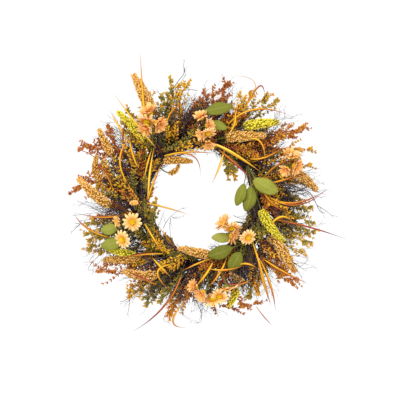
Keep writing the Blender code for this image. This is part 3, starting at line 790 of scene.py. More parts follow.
def addDaisy(pile, middle, face, radius, dice, closed=0.0):
    across = unit(np.cross(face, [0.3, 0.2, 1.0]))
    down = np.cross(face, across)
    for layer in range(daisyLook["layers"]):
        addPetals(pile, middle, face, across, down, radius, layer, closed, dice)
    eye = radius * daisyLook["eyeShare"]
    addEye(pile, middle, face, across, down, eye)
    # the green cup behind the petals
    cup = eye * np.array([[0.12, 0.5, 0.85, 1.0]])
    depth = radius * 0.34
    path = middle - face * depth + face * (np.linspace(0, 1, 4)[None, :, None] * depth)
    sweep(pile, path, *frames(path, across[None]), *circle(10), cup, cup, tint=0.7, slot=2)


def headPlane(head):
    # the middle and facing of a daisy's rim, found by leaving out what lies off its plane
    rim = head
    for _ in range(4):
        middle = (rim.min(axis=0) + rim.max(axis=0)) / 2
        face = np.linalg.svd(rim - rim.mean(axis=0))[2][2]
        face = face * (-1 if face[1] > 0 else 1)
        rim = head[np.abs((head - rim.mean(axis=0)) @ face) < 2.2 * mm]
    return middle, face, np.linalg.norm(rim - middle, axis=1).max()


def makeDaisies():
    dice = np.random.default_rng(daisyLook["randomSeed"])
    for node in nodesNamed("daisy"):
        cloud = nodePoints(node)
        seat = seatOf(cloud)
        far = np.linalg.norm(cloud - seat, axis=1)
        middle, face, radius = headPlane(cloud[far > far.max() * 0.45])
        pile = newPile()
        addDaisy(pile, middle, face, radius, dice)
        stem = arc(seat, middle - face * radius * 0.9, middle - face * radius * 0.3, 20)
        tubes(pile, stem[None], daisyLook["stem"], 8, tint=0.5, slot=2)
        pileToPiece(pile, node + "_bloom", bloomFinishes, "wreath", [node])


makeDaisies()
print("daisies made")


# each leaf: the clock angle and distance outside the ring of its base and its tip, its width, and its shade
leafLook = {
    "height": 55 * mm, "drop": 4 * mm, "nod": 3 * mm, "thick": 0.4 * mm, "randomSeed": 8,
    "leaf_pick_1": [((87, 53), (71, 78), 27, 0.12), ((84, 30), (69, 29), 20, 0.3)],
    "leaf_pick_2": [((21, -14), (6, 33), 32, 0.5), ((20, -36), (-9, -58), 22, 0.25),
                    ((15, -22), (-14, -36), 28, 0.15)],
    "leaf_pick_3": [((-162, 50), (-163, 86), 24, 0.45), ((-153, 49), (-155, 99), 27, 0.4)],
    "leaf_pick_4": [((-50, -29), (-73, -53), 21, 0.65), ((-56, -14), (-82, -14), 29, 0.05),
                    ((-52, 6), (-67, 30), 30, 0.1)],
}


def addLeaf(pile, base, tip, width, facing, tint, slot, dice):
    # an oval leaf: width follows sin(pi * share) ** 0.62, its middle crowned forward, its edges folded back
    steps, corners = 18, 18
    share = np.linspace(0, 1, steps)
    crown = np.sin(math.pi * share) * width * 0.10 - 0.10 * width * share ** 2
    sway = unit(np.cross(tip - base, facing)) * width * dice.uniform(-0.09, 0.09)
    aside = sway * np.sin(math.pi * share)[:, None]
    path = base + (tip - base) * share[:, None] + facing * crown[:, None] + aside
    twist = dice.uniform(-0.25, 0.25) + 0.12 * np.sin(share * 9)
    sides, ups = frames(path[None], facing[None], twist[None])
    wide = width / 2 * (0.05 + 1.0 * np.sin(math.pi * np.clip(share * 0.97 + 0.02, 0, 1)) ** 0.62)
    a, b = strip(corners, 0.2, 0.0)
    b = b + np.where(np.arange(corners) < corners / 2, 1, -1) * leafLook["thick"] / (width / 2)
    deep = np.full((1, steps), width / 2)
    sweep(pile, path[None], sides, ups, a, b, wide[None], deep, tint=tint, slot=slot)


def makeLeaves():
    dice = np.random.default_rng(leafLook["randomSeed"])
    facing = np.array([0.0, -1.0, 0.0])
    for node in nodesNamed("leaf_pick"):
        pile = newPile()
        seat = seatOf(nodePoints(node))
        for number, (base, tip, width, shade) in enumerate(leafLook[node]):
            height = vineThick + leafLook["height"] - number * leafLook["drop"]
            root = ringPoint(base[0], base[1] * mm, height)
            end = ringPoint(tip[0], tip[1] * mm, height - leafLook["nod"])
            addLeaf(pile, root, end, width * mm, facing, shade, 0, dice)
            bend = seat + facing * leafLook["height"] * 0.55 + (root - seat) * 0.3
            stem = arc(seat, bend, root + (end - root) * 0.08, 16)
            tubes(pile, stem[None], np.linspace(1.6, 1.0, 16)[None] * mm, 7, tint=0.6, slot=1)
        pileToPiece(pile, node + "_leaves", ["leaf_fabric", "stem"], "wreath", [node])


makeLeaves()
print("leaves made")


# each blade's shade, from cream at -0.1 to rust at 0.5
grassLook = {"widen": 1.2, "grass_blade_1": 0.1, "grass_blade_2": -0.05, "grass_blade_3": -0.1,
             "grass_blade_4": 0.35, "grass_blade_5": 0.5, "grass_blade_6": 0.2, "grass_blade_7": 0.45,
             "grass_blade_8": 0.3, "randomSeed": 3}


def addBlades(pile, paths, widths, facing, twists, tints, slot=0):
    # a blade is V shaped across, narrow at its base, widest near a third and drawn out to a point
    share = np.linspace(0, 1, paths.shape[1])
    outline = 0.55 + 0.45 * np.sin(math.pi * np.minimum(1, share * 1.15)) - 0.50 * share ** 3
    sides, ups = frames(paths, facing, np.asarray(twists)[:, None] * share[None])
    half = np.asarray(widths)[:, None] / 2
    sweep(pile, paths, sides, ups, *strip(8, 0.42, 0.06), half * outline, half * np.maximum(outline, 0.25),
          tint=tints, slot=slot)


def makeGrasses():
    dice = np.random.default_rng(grassLook["randomSeed"])
    for node in nodesNamed("grass_blade"):
        path, cloud = spineOf(node, 34)
        gap, _ = thicknessOf(cloud, path)
        width = grassLook["widen"] * np.sort(gap)[-4]
        pile = newPile()
        addBlades(pile, path[None], [width], np.array([[0.0, -1.0, 0.0]]), [dice.uniform(-0.6, 0.6)],
                  grassLook.get(node, 0.2))
        pileToPiece(pile, node + "_strip", ["grass_film"], "wreath", [node])


makeGrasses()
print("grasses made")


# the hue of each spray's leaves: olive 0.1, gold 0.5, rust 0.9
sprayLook = {"leafLength": 8.8 * mm, "leafWidth": 5.0 * mm, "leafThick": 1.3 * mm, "leafGap": 6.2 * mm,
             "stem": 0.8 * mm, "bare": 0.15, "longestShoot": 42 * mm, "twig": 1.5 * mm,
             "foliage_spray_1": 0.9, "foliage_spray_2": 0.85, "foliage_spray_3": 0.18,
             "foliage_spray_4": 0.88, "foliage_spray_5": 0.8, "foliage_spray_6": 0.2,
             "foliage_spray_7": 0.76, "foliage_spray_8": 0.7, "randomSeed": 14}


def addShoots(pile, paths, hues, dice, shoots, stemSlot):
    # side shoots left and right by turns, each bending back towards the way its stem runs
    many = len(paths)
    stem = sprayLook["stem"]
    shares = np.linspace(0.28, 0.85, shoots)[None] + dice.uniform(-0.05, 0.05, (many, shoots))
    here, ahead = pointsOn(paths, shares)
    side = np.where(np.arange(shoots) % 2 == 0, 1, -1)[None]
    turn = side * np.radians(dice.uniform(22, 46, (many, shoots)))
    heading = np.degrees(np.arctan2(ahead[..., 2], ahead[..., 0]) + turn)
    size = np.minimum(runOf(paths)[:, None] * 0.46 * (1.03 - shares), sprayLook["longestShoot"])
    size = size * dice.uniform(0.75, 1.15, (many, shoots))
    lift = dice.uniform(-20, 30, many * shoots)
    liftBend = dice.uniform(-20, 20, many * shoots)
    grown = growPaths(here.reshape(-1, 3), heading.ravel(), lift, size.ravel(),
                      -np.degrees(turn).ravel() * 0.6, liftBend, 8, dice)
    tubes(pile, grown, stem * np.linspace(0.7, 0.4, 8)[None], 3, tint=0.4, slot=stemSlot)
    return grown, np.repeat(hues, shoots) + dice.uniform(-0.06, 0.06, many * shoots)


def addSprays(pile, paths, hues, dice, leafSlot=0, stemSlot=1, leafScale=1.0, shoots=4, gap=1.0):
    # each spray: a thin stem, side shoots left and right, and small leaves in pairs along all of them
    taper = sprayLook["stem"] * np.linspace(1.3, 0.5, paths.shape[1])[None]
    tubes(pile, paths, taper, 4, tint=0.4, slot=stemSlot)
    grown, grownHues = addShoots(pile, paths, hues, dice, shoots, stemSlot)
    stems = ((resample(paths, 10), hues, sprayLook["bare"]), (grown, grownHues, 0.1))
    for line, hue, first in stems:
        pairs = int(np.clip(np.percentile(runOf(line), 75) / (gap * sprayLook["leafGap"]), 3, 34))
        shares = np.linspace(first, 1.0, pairs)[None] + dice.uniform(-0.02, 0.02, (len(line), pairs))
        here, ahead = pointsOn(line, shares)
        for side in (-1, 1):
            spin = dice.uniform(0.3, 1.0, ahead.shape[:2]) * side
            helper = unit(np.cross(ahead, [0.0, -1.0, 0.05]))
            front = np.cross(helper, ahead)
            roll = dice.uniform(-0.9, 0.9, ahead.shape[:2])[..., None]
            sideways = helper * np.cos(roll) + front * np.sin(roll)
            steer = ahead * np.cos(spin)[..., None] + sideways * np.sin(spin)[..., None]
            size = leafScale * dice.uniform(0.7, 1.2, ahead.shape[:2]) * (1.05 - 0.3 * shares)
            up = unit(front + dice.normal(0, 0.4, front.shape))
            olive = np.where(hue < 0.4, 0.55, 0)[:, None]  # olive plants turn gold at their tips
            toGold = np.clip(shares - 0.55, 0, 1) * olive
            tint = np.clip(hue[:, None] + toGold + dice.normal(0, 0.08, size.shape), 0, 1)
            buds(pile, here.reshape(-1, 3), steer.reshape(-1, 3), up.reshape(-1, 3),
                 (sprayLook["leafLength"] * size).ravel(), (sprayLook["leafWidth"] * size).ravel(),
                 (sprayLook["leafThick"] * size).ravel(), tint=tint.ravel(), slot=leafSlot)


def addTwigs(pile, paths, dice, radius, shoots=5, fine=3, slot=0):
    # bare twigs: a main stem, side shoots by turns and finer shoots on those, each thinner than its parent
    many = len(paths)
    radius = np.broadcast_to(radius, (many,))
    taper = radius[:, None] * np.linspace(1.0, 0.35, paths.shape[1])[None]
    tubes(pile, paths, taper, 5, tint=dice.uniform(0, 1, many), slot=slot)
    parents, parentRadius = paths, radius
    for level, count in enumerate((shoots, fine)):
        rows = len(parents)
        each = rows * count
        shares = np.linspace(0.22, 0.88, count)[None] + dice.uniform(-0.07, 0.07, (rows, count))
        here, ahead = pointsOn(parents, shares)
        side = np.where((np.arange(count) + level) % 2 == 0, 1, -1)[None]
        turn = side * dice.uniform(22, 52, (rows, count))
        heading = np.degrees(np.arctan2(ahead[..., 2], ahead[..., 0])) + turn
        size = runOf(parents)[:, None] * (0.52 - 0.30 * shares) * dice.uniform(0.7, 1.25, (rows, count))
        thin = np.repeat(parentRadius, count) * 0.6
        lift = dice.uniform(-25, 28, each)
        liftBend = dice.uniform(-25, 25, each)
        grown = growPaths(here.reshape(-1, 3), heading.ravel(), lift, size.ravel(), -turn.ravel() * 0.5,
                          liftBend, 6, dice, 0.10)
        taper = thin[:, None] * np.linspace(1.0, 0.4, 6)[None]
        tubes(pile, grown, taper, 3, tint=dice.uniform(0, 1, each), slot=slot)
        parents, parentRadius = grown, thin


def makeNodeSprays():
    dice = np.random.default_rng(sprayLook["randomSeed"])
    for node in nodesNamed("foliage_spray"):
        path, _ = spineOf(node, 16)
        pile = newPile()
        addSprays(pile, path[None], np.array([sprayLook.get(node, 0.5)]), dice, shoots=6)
        pileToPiece(pile, node + "_plant", ["foliage", "twig"], "wreath", [node])
    for node in nodesNamed("twig_spray"):
        path, _ = spineOf(node, 16)
        pile = newPile()
        addTwigs(pile, path[None], dice, sprayLook["twig"], shoots=3, fine=2)
        pileToPiece(pile, node + "_twigs", ["twig"], "wreath", [node])


makeNodeSprays()
print("sprays made")


# plants that carry no part of their own: sprays, blades, blooms and seed heads tied in one by one
# heights are in mm in front of the vines, at a plant's base, middle and tip; scatter is how far they vary
plantLook = {
    "sprays": {"heights": (4, 26, 20), "scatter": 8, "steps": 14, "groups": 4},
    "blades": {"heights": (34, 58, 46), "scatter": 10, "steps": 26},
    "twigs": {"heights": (4, 38, 36), "scatter": 10, "steps": 14, "bundle": 3, "spread": (3.0, 8.0, 13.0)},
    "sprigs": {"heights": (8, 40, 44), "scatter": 8, "steps": 14},
    "curlHeights": (4, 30), "curlRadius": 0.7 * mm, "twigRadius": 0.8 * mm, "bloomHeight": 62 * mm,
    "bloomStem": 1.2 * mm, "headHeights": (26, 30), "randomSeed": 52,
}

# sprays: three points (x, z) in mm from the ring's centre, then a hue from olive 0.1 by gold 0.5 to rust 0.9
plantedSprays = [
    ((-130, 90), (-218, 112), (-267, 114), 0.9), ((-120, 60), (-200, 62), (-287, 14), 0.85),
    ((-150, 30), (-191, 48), (-215, 90), 0.52), ((-60, 130), (-74, 170), (-62, 262), 0.2),
    ((-66, 125), (-82, 180), (-82, 232), 0.2), ((-30, 140), (-45, 211), (-20, 262), 0.52),
    ((-40, 140), (-58, 200), (-40, 256), 0.5), ((0, 140), (13, 200), (9, 244), 0.9),
    ((5, 140), (20, 214), (72, 258), 0.88), ((40, 130), (90, 195), (119, 242), 0.54),
    ((60, 130), (86, 190), (88, 236), 0.52), ((66, 125), (110, 195), (158, 231), 0.3),
    ((80, 120), (130, 190), (172, 217), 0.3), ((100, 100), (160, 140), (246, 158), 0.8),
    ((105, 95), (160, 130), (204, 166), 0.75), ((115, 85), (180, 112), (252, 106), 0.58),
    ((118, 80), (185, 84), (252, 70), 0.55), ((130, 20), (200, -8), (248, -20), 0.2),
    ((132, 10), (205, -30), (248, -54), 0.22), ((135, 0), (195, -50), (249, -84), 0.3),
    ((130, -20), (195, -70), (246, -100), 0.3), ((125, -40), (180, -90), (231, -122), 0.34),
    ((120, -70), (160, -124), (180, -170), 0.78), ((118, -75), (165, -130), (222, -188), 0.76),
    ((110, -80), (160, -100), (206, -140), 0.8), ((90, -110), (126, -165), (123, -206), 0.52),
    ((80, -115), (112, -178), (100, -216), 0.16), ((20, -140), (40, -228), (146, -222), 0.9),
    ((40, -135), (70, -200), (110, -240), 0.85), ((-10, -140), (-45, -204), (-72, -254), 0.76),
    ((-30, -135), (-60, -190), (-92, -222), 0.12), ((-40, -130), (-80, -175), (-116, -206), 0.1),
    ((-50, -130), (-95, -190), (-123, -232), 0.16), ((-60, -125), (-100, -165), (-140, -200), 0.3),
    ((-70, -120), (-120, -175), (-158, -196), 0.54), ((-72, -115), (-120, -185), (-157, -210), 0.54),
    ((-80, -110), (-165, -160), (-236, -138), 0.86), ((-100, -100), (-160, -135), (-210, -140), 0.8),
    ((-130, -50), (-202, -78), (-262, -66), 0.3), ((-130, -60), (-200, -92), (-258, -108), 0.32),
    ((-125, -30), (-190, -40), (-240, -40), 0.7), ((-135, 0), (-190, 10), (-225, 40), 0.3),
    ((-110, -70), (-102, -40), (-96, 4), 0.2), ((60, 110), (58, 88), (62, 44), 0.25),
    ((64, 106), (70, 80), (77, 46), 0.25), ((140, -20), (130, -50), (118, -84), 0.1),
    ((150, -30), (142, -60), (128, -92), 0.12), ((-120, 100), (-150, 140), (-172, 180), 0.3),
    ((-110, 110), (-135, 150), (-160, 205), 0.25), ((-85, 125), (-112, 190), (-100, 236), 0.55),
    ((130, 40), (180, 50), (232, 30), 0.6), ((-135, -40), (-198, -52), (-252, -50), 0.18),
    ((-140, -70), (-205, -74), (-246, -88), 0.3), ((-110, -96), (-170, -112), (-232, -112), 0.3),
    ((-140, 20), (-200, 22), (-250, 6), 0.72), ((-130, 50), (-186, 70), (-236, 66), 0.8),
    ((90, -96), (140, -128), (190, -152), 0.74), ((-124, -36), (-112, -72), (-90, -106), 0.12),
    ((-118, -60), (-98, -90), (-66, -116), 0.5), ((-100, -90), (-70, -116), (-30, -128), 0.14),
    ((-126, 20), (-124, -10), (-112, -40), 0.16), ((120, -40), (112, -70), (92, -98), 0.12),
    ((-90, 100), (-60, 116), (-20, 122), 0.2), ((20, 150), (60, 175), (100, 182), 0.86),
    ((90, 110), (120, 125), (160, 128), 0.8), ((-160, 90), (-190, 130), (-200, 165), 0.85),
]

# blades: three points (x, z) in mm from the ring's centre, width in mm, shade from cream 0 to burgundy 0.6
plantedBlades = [
    ((-137, 74), (-148, 112), (-152, 150), 5.5, 0.15), ((-114, 2), (-108, 60), (-99, 119), 6, -0.08),
    ((-114, 0), (-98, 44), (-78, 87), 5, 0.25), ((-121, 52), (-112, 84), (-103, 114), 5, 0.1),
    ((-117, -7), (-70, -18), (-18, -34), 4.5, 0.1), ((-78, 96), (-24, 103), (38, 100), 4, 0.25),
    ((-78, 94), (-16, 96), (0, 49), 3.4, 0.35), ((-22, 141), (4, 134), (30, 116), 4.5, 0.4),
    ((36, 119), (84, 92), (135, 58), 6, -0.12), ((40, 110), (80, 74), (114, 43), 6, 0.52),
    ((53, 108), (42, 72), (25, 33), 5, 0.0), ((74, 119), (128, 128), (139, 62), 4, 0.12),
    ((61, 165), (120, 196), (199, 182), 4.5, 0.25), ((94, 190), (128, 246), (141, 216), 4, 0.45),
    ((88, 190), (118, 254), (44, 267), 1.8, 0.25), ((141, 50), (176, 78), (222, 83), 6, 0.46),
    ((150, 36), (190, 46), (226, 60), 5, 0.35), ((137, 18), (162, -14), (192, -27), 5.5, 0.45),
    ((150, 8), (210, -10), (274, 22), 4.5, 0.35), ((126, -130), (138, -180), (154, -229), 6, 0.15),
    ((130, -130), (152, -184), (163, -240), 5.5, 0.3), ((140, -130), (186, -158), (235, -181), 5, 0.3),
    ((-34, -222), (-58, -262), (-30, -276), 4.5, 0.3), ((122, -232), (140, -254), (158, -274), 2.2, 0.5),
    ((-121, -52), (-100, -84), (-79, -119), 5.5, 0.2), ((-103, -128), (-84, -146), (-62, -170), 5.5, 0.12),
    ((-96, -184), (-128, -166), (-160, -152), 5, 0.52), ((-81, -117), (-130, -118), (-180, -128), 4.5, 0.35),
    ((24, -128), (-8, -138), (-40, -154), 5, 0.15), ((27, -137), (8, -166), (-22, -199), 6, 0.15),
    ((58, -128), (38, -164), (8, -198), 5.5, 0.25), ((112, -172), (78, -182), (44, -172), 4.5, 0.45),
    ((84, -142), (104, -138), (126, -150), 5, 0.15), ((-190, -84), (-244, -60), (-274, -26), 4.5, 0.35),
    ((-225, 90), (-248, 104), (-269, 108), 2, 0.45), ((-90, -58), (-66, -88), (-40, -122), 2, 0.4),
    ((-166, 105), (-166, 146), (-154, 182), 4.5, 0.5), ((-160, 40), (-170, 100), (-130, 150), 5, 0.25),
    ((-60, -140), (-92, -158), (-60, -200), 5, 0.2), ((150, -60), (176, -36), (204, -52), 5.5, 0.1),
    ((20, -150), (60, -150), (104, -138), 4.5, 0.25), ((-150, 120), (-176, 160), (-196, 196), 5, 0.02),
    ((-76, 150), (-62, 190), (-30, 214), 4, 0.3), ((110, 90), (150, 96), (196, 130), 4.5, 0.3),
    ((-190, 20), (-206, 60), (-236, 84), 4, 0.4), ((60, 140), (76, 172), (70, 206), 4.5, 0.05),
]

# blooms: (x, z) in mm, radius in mm, the clock angle that the face tips towards, its tilt, how far it closes
plantedBlooms = [
    (-176, -46, 14, 200, 55, 20), (-142, -10, 12, 90, 60, 30), (56, -54, 27, 140, 74, 30),
    (66, -76, 22, 330, 66, 35), (8, -198, 24, 215, 62, 35), (-8, -188, 21, 160, 64, 40),
    (42, -207, 20, 260, 34, 0), (-108, 184, 27, 110, 60, 44), (-114, 160, 25, 235, 60, 44),
    (-94, 166, 26, 330, 58, 44), (4, 176, 21, 120, 58, 38), (14, 160, 20, 10, 60, 40),
    (8, 142, 20, 200, 60, 40), (18, 124, 19, 280, 56, 40), (193, 92, 24, 70, 58, 38),
    (202, 74, 24, 330, 60, 42), (188, 68, 20, 230, 60, 42),
]

# seed heads: base and tip (x, z) in mm, radius in mm, shade
plantedHeads = [
    ((-132, -124), (-210, -130), 11, 0.4), ((-100, 190), (-133, 262), 12, 0.6),
    ((176, 58), (214, 100), 12, 0.6), ((-70, 60), (-46, 76), 6, 0.5), ((100, -176), (66, -160), 7, 0.8),
    ((-214, 40), (-226, 96), 8, 0.3), ((150, -80), (190, -112), 10, 0.6),
]

# wiry curls: three points (x, z) in mm
plantedCurls = [
    ((-80, -62), (-64, -36), (-34, -16)), ((-62, -36), (-52, -40), (-36, -34)),
    ((-64, -40), (-66, -62), (-62, -90)), ((236, -18), (250, -56), (272, -46)),
    ((-6, 240), (-40, 236), (-44, 204)), ((210, 60), (236, 64), (256, 72)),
    ((74, -34), (94, -42), (120, -46)), ((193, -104), (236, -122), (216, -150)),
    ((-220, -120), (-246, -150), (-232, -152)), ((-60, -230), (-80, -262), (-66, -270)),
    ((-10, -220), (4, -262), (-14, -272)), ((-200, 110), (-186, 146), (-172, 168)),
]

# bare twigs that show between the leaves: three points (x, z) in mm, each planted as a small bundle
plantedTwigs = [
    ((-80, 140), (-68, 176), (-48, 214)), ((-44, 140), (-34, 190), (8, 226)),
    ((-40, 160), (-10, 196), (30, 206)), ((-150, 10), (-190, -14), (-246, -14)),
    ((-160, -10), (-200, -30), (-244, -38)), ((-150, 0), (-166, 36), (-186, 70)),
    ((-120, 100), (-160, 130), (-194, 160)), ((30, 150), (58, 200), (84, 240)),
    ((100, 110), (146, 150), (184, 176)), ((140, 40), (190, 34), (244, 20)),
    ((150, 60), (200, 54), (240, 44)), ((120, 10), (118, -20), (112, -48)),
    ((140, -10), (170, -40), (190, -70)), ((120, -70), (180, -110), (214, -146)),
    ((60, -120), (84, -140), (112, -170)), ((-20, -150), (-34, -196), (-40, -238)),
    ((0, -150), (2, -200), (10, -240)), ((-140, -70), (-190, -100), (-240, -112)),
    ((-100, -120), (-130, -156), (-164, -176)), ((-60, -150), (-100, -190), (-140, -206)),
    ((100, -120), (140, -160), (150, -214)),
]

# gold sprigs with larger leaves on the face: three points (x, z) in mm
goldSprigs = [
    ((-72, 128), (-70, 146), (-74, 166)), ((-60, 126), (-52, 146), (-52, 166)),
    ((-64, 110), (-24, 112), (20, 112)), ((-150, 10), (-178, 40), (-206, 80)),
    ((-140, 20), (-170, 44), (-186, 90)), ((-126, -20), (-140, 4), (-154, 24)),
    ((-22, -122), (-50, -126), (-82, -138)), ((-30, -128), (-52, -140), (-80, -156)),
    ((70, 104), (90, 112), (114, 122)), ((140, 4), (160, -8), (186, -18)),
    ((112, -160), (116, -180), (124, -200)), ((-130, 60), (-150, 92), (-166, 126)),
    ((60, 128), (76, 168), (84, 206)), ((126, -96), (158, -118), (196, -124)),
    ((-110, 110), (-128, 128), (-140, 150)),
]


def onFace(points, heights):
    # points (x, z) in mm from the ring's centre, at those heights in front of the ring's plane
    points = np.array(points, float) * mm
    depth = ringCentre[1] - np.broadcast_to(heights, points.shape[:-1])
    return np.stack([ringCentre[0] + points[..., 0], depth, ringCentre[2] + points[..., 1]], -1)


def bent(corners, steps):
    # smooth curves through three points each: the control point is pushed out so that the middle is met
    share = np.linspace(0, 1, steps)[None, :, None]
    first, middle, last = corners[:, 0:1], corners[:, 1:2], corners[:, 2:3]
    control = 2 * middle - (first + last) / 2
    return first * (1 - share) ** 2 + 2 * control * share * (1 - share) + last * share ** 2


def plantPaths(corners, look, dice):
    heights = np.array([vineThick + height * mm for height in look["heights"]])
    heights = heights + dice.uniform(-look["scatter"], look["scatter"], (len(corners), 1)) * mm
    return bent(onFace(corners, heights), look["steps"])


def plantSprays(dice):
    look = plantLook["sprays"]
    paths = plantPaths([row[:3] for row in plantedSprays], look, dice)
    hues = np.array([row[3] for row in plantedSprays])
    for group in range(look["groups"]):
        pile = newPile()
        pick = slice(group, None, look["groups"])
        addSprays(pile, paths[pick], hues[pick], dice, leafScale=0.94, shoots=5, gap=1.05)
        pileToPiece(pile, f"planted_sprays_{group + 1}", ["foliage", "twig"], "wreath")


def plantBlades(dice):
    count = len(plantedBlades)
    paths = plantPaths([row[:3] for row in plantedBlades], plantLook["blades"], dice)
    facing = np.array([[0.0, -1.0, 0.0]]) + dice.normal(0, 0.2, (count, 3))
    twists = dice.uniform(-0.9, 0.9, count)
    widths = np.array([row[3] for row in plantedBlades]) * mm
    pile = newPile()
    addBlades(pile, paths, widths, facing, twists, np.array([row[4] for row in plantedBlades]))
    pileToPiece(pile, "planted_blades", ["grass_film"], "wreath")


def plantCurls(dice):
    heights = vineThick + dice.uniform(*plantLook["curlHeights"], (len(plantedCurls), 1)) * mm
    pile = newPile()
    addTwigs(pile, bent(onFace(plantedCurls, heights), 24), dice, plantLook["curlRadius"], shoots=2, fine=1)
    pileToPiece(pile, "planted_curls", ["twig"], "wreath")


def plantTwigs(dice):
    look = plantLook["twigs"]
    corners = np.repeat(np.array(plantedTwigs, float), look["bundle"], axis=0)
    corners += dice.normal(0, 1, corners.shape) * np.array(look["spread"])[:, None]
    paths = plantPaths(corners, look, dice)
    pile = newPile()
    addTwigs(pile, paths, dice, plantLook["twigRadius"])
    pileToPiece(pile, "planted_twigs", ["twig"], "wreath")


def plantSprigs(dice):
    paths = plantPaths(goldSprigs, plantLook["sprigs"], dice)
    hues = dice.uniform(0.46, 0.66, len(goldSprigs))
    pile = newPile()
    addSprays(pile, paths, hues, dice, leafScale=1.3, shoots=1, gap=1.6)
    pileToPiece(pile, "gold_sprigs", ["foliage", "twig"], "wreath")


def plantBlooms(dice):
    pile = newPile()
    for x, z, radius, clock, tilt, closed in plantedBlooms:
        middle = onFace((x, z), vineThick + plantLook["bloomHeight"])
        away, lean = math.radians(clock), math.radians(tilt)
        face = np.array([math.sin(lean) * math.cos(away), -math.cos(lean), math.sin(lean) * math.sin(away)])
        addDaisy(pile, middle, face, radius * mm, dice, closed=closed)
        seat = ringPoint(math.degrees(math.atan2(z, x)), 0, vineThick)
        stem = arc(seat, middle - face * 25 * mm, middle - face * radius * 0.3 * mm, 16)
        tubes(pile, stem[None], plantLook["bloomStem"], 7, tint=0.5, slot=2)
    pileToPiece(pile, "planted_blooms", bloomFinishes, "wreath")


def plantHeads(dice):
    pile = newPile()
    for base, tip, radius, shade in plantedHeads:
        start, end = (onFace(point, vineThick + height * mm)
                      for point, height in zip((base, tip), plantLook["headHeights"]))
        seat = ringPoint(math.degrees(math.atan2(base[1], base[0])), 0, vineThick)
        path = resample(bent(np.array([[seat, start, end]]), 40), 40)[0]
        toHead = np.linalg.norm(start - seat)
        share = toHead / (toHead + np.linalg.norm(end - start))
        addSeedHead(pile, path, share, radius * mm, dice, shade)
    pileToPiece(pile, "planted_heads", ["rust_seed", "stem"], "wreath")


plantDice = np.random.default_rng(plantLook["randomSeed"])
for plant in (plantSprays, plantBlades, plantCurls, plantTwigs, plantSprigs, plantBlooms, plantHeads):
    plant(plantDice)


# the fill between the picks, sector by sector round the ring
fillLook = {"sectors": 8, "twigs": 64, "sprays": 29, "clear": 1 * mm, "ownHue": 0.45, "randomSeed": 77}


def plantHues(paths, dice):
    # a fill plant takes the hue of the planted spray nearest its middle, a little changed, or one of its own
    middles = np.array([row[1] for row in plantedSprays], float) * mm
    here = paths[:, paths.shape[1] // 2, ::2] - ringCentre[None, ::2]
    nearest = np.linalg.norm(here[:, None] - middles[None], axis=2).argmin(axis=1)
    hues = np.array([row[3] for row in plantedSprays])[nearest] + dice.normal(0, 0.1, len(paths))
    own = dice.choice([0.06, 0.1, 0.16, 0.3, 0.55, 0.84, 0.92], len(paths))
    return np.clip(np.where(dice.uniform(0, 1, len(paths)) < fillLook["ownHue"], own, hues), 0.02, 0.98)


def fillTwigs(sector, start, wide, dice):
    # bare twigs, low in the wreath: most lean outwards and clockwise, one in four goes round the inside
    count = fillLook["twigs"]
    clock = start + wide * dice.uniform(0, 1, count)
    inner = dice.uniform(0, 1, count) < 0.25
    section = np.where(inner, dice.uniform(-75, -15, count), dice.uniform(-10, 95, count))
    base = roundVines(clock, section, np.full(count, vineThick + fillLook["clear"]))
    heading = clock - np.where(inner, dice.uniform(92, 118, count), dice.uniform(25, 72, count))
    length = np.where(inner, dice.uniform(40, 66, count), dice.uniform(66, 98, count)) * mm
    raised = dice.uniform(0, 1, count) < 0.45  # these stand up between the leaves and show as dark tangles
    lift = np.where(raised, dice.uniform(35, 65, count), dice.uniform(-5, 30, count))
    bend = dice.uniform(-10, 35, count)
    liftBend = -lift * dice.uniform(0.6, 1.3, count)
    paths = growPaths(base, heading, lift, length, bend, liftBend, 10, dice, 0.12)
    pile = newPile()
    addTwigs(pile, paths, dice, dice.uniform(0.8, 1.5, count) * mm)
    pileToPiece(pile, f"twig_fill_{sector + 1}", ["twig"], "wreath")


def byKind(kind, dice, inside, face, rim):
    # one value for each plant, from its own kind's range: inside the ring, on its face or at its rim
    values = [dice.uniform(low, high, len(kind)) for low, high in (inside, face, rim)]
    return np.select([kind < 0.2, kind < 0.5], values[:2], values[2])


def fillLeaves(sector, start, wide, dice):
    # small-leaved sprays, from short ones on the face to long ones at the rim
    count = fillLook["sprays"]
    clock = start + wide * dice.uniform(0, 1, count)
    kind = dice.uniform(0, 1, count)
    section = byKind(kind, dice, (-70, -20), (-20, 40), (30, 90))
    base = roundVines(clock, section, np.full(count, vineThick + fillLook["clear"]))
    lean = byKind(kind, dice, (92, 112), (50, 100), (20, 66))
    length = byKind(kind, dice, (36, 56), (50, 80), (60, 88)) * mm
    lift = dice.uniform(5, 55, count)
    bend = dice.uniform(-10, 30, count)
    liftBend = dice.uniform(-60, -15, count)
    paths = growPaths(base, clock - lean, lift, length, bend, liftBend, 10, dice, 0.08)
    pile = newPile()
    addSprays(pile, paths, plantHues(paths, dice), dice, gap=1.12)
    pileToPiece(pile, f"leaf_fill_{sector + 1}", ["foliage", "twig"], "wreath")


def makeFill():
    dice = np.random.default_rng(fillLook["randomSeed"])
    wide = 360 / fillLook["sectors"]
    for sector in range(fillLook["sectors"]):
        fillTwigs(sector, sector * wide, wide, dice)
        fillLeaves(sector, sector * wide, wide, dice)


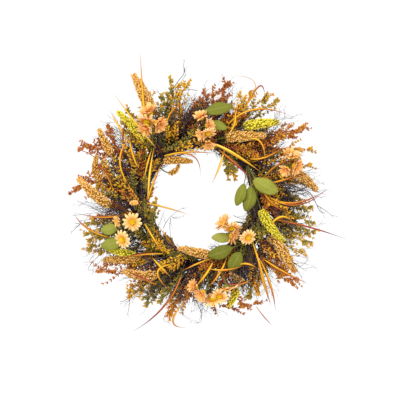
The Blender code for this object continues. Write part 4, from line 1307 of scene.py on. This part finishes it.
makeFill()
print("fill made")
meshes = [item.data for item in bpy.data.objects if item.type == "MESH"]
print("triangles:", sum(len(polygon.vertices) - 2 for mesh in meshes for polygon in mesh.polygons))


# each light: where it stands in metres, how wide it is, and its power
stageLook = {"floorRadius": 0.85, "floorDrop": 0.62, "sky": 1.04, "lens": 85, "sensor": 36,
             "cameraAway": 2.118, "lights": {"key": ((-0.9, -1.5, 0.9), 1.0, 26),
                 "fill": ((1.2, -1.4, 0.1), 1.2, 9), "rim": ((0.2, 0.9, 0.9), 0.8, 8)}}


def aimTurn(direction):
    # the turn that points a lamp's -Z along direction
    x, y, z = direction / np.linalg.norm(direction)
    return (math.acos(-z), 0, math.atan2(x, -y) + math.pi)


def makeFloor():
    low = cadBox[0][2] - stageLook["floorDrop"]
    bpy.ops.mesh.primitive_circle_add(
        vertices=64, radius=stageLook["floorRadius"], fill_type="NGON", location=(0, 0, low))
    floor = bpy.context.object
    floor.name = "studioFloor"
    floor.data.materials.append(floorPaint())


def makeLights():
    world = bpy.data.worlds.new("studio")
    bpy.context.scene.world = world
    world.use_nodes = True
    sky = world.node_tree.nodes["Background"]
    sky.inputs["Color"].default_value = (1, 1, 1, 1)
    sky.inputs["Strength"].default_value = stageLook["sky"]
    for name, (place, size, power) in stageLook["lights"].items():
        lamp = bpy.data.lights.new(name, "AREA")
        lamp.size = size
        lamp.energy = power
        holder = bpy.data.objects.new(name, lamp)
        holder.location = place
        holder.rotation_euler = aimTurn(ringCentre - np.array(place))
        bpy.context.scene.collection.objects.link(holder)


def makeCamera():
    camera = bpy.data.cameras.new("camera")
    camera.lens = stageLook["lens"]
    camera.sensor_width = stageLook["sensor"]
    holder = bpy.data.objects.new("camera", camera)
    holder.location = (ringCentre[0], ringCentre[1] - stageLook["cameraAway"], ringCentre[2])
    holder.rotation_euler = (math.pi / 2, 0, 0)
    bpy.context.scene.collection.objects.link(holder)
    bpy.context.scene.camera = holder
    bpy.context.scene.view_settings.view_transform = "Standard"


makeFloor()
makeLights()
makeCamera()
print("stage set")
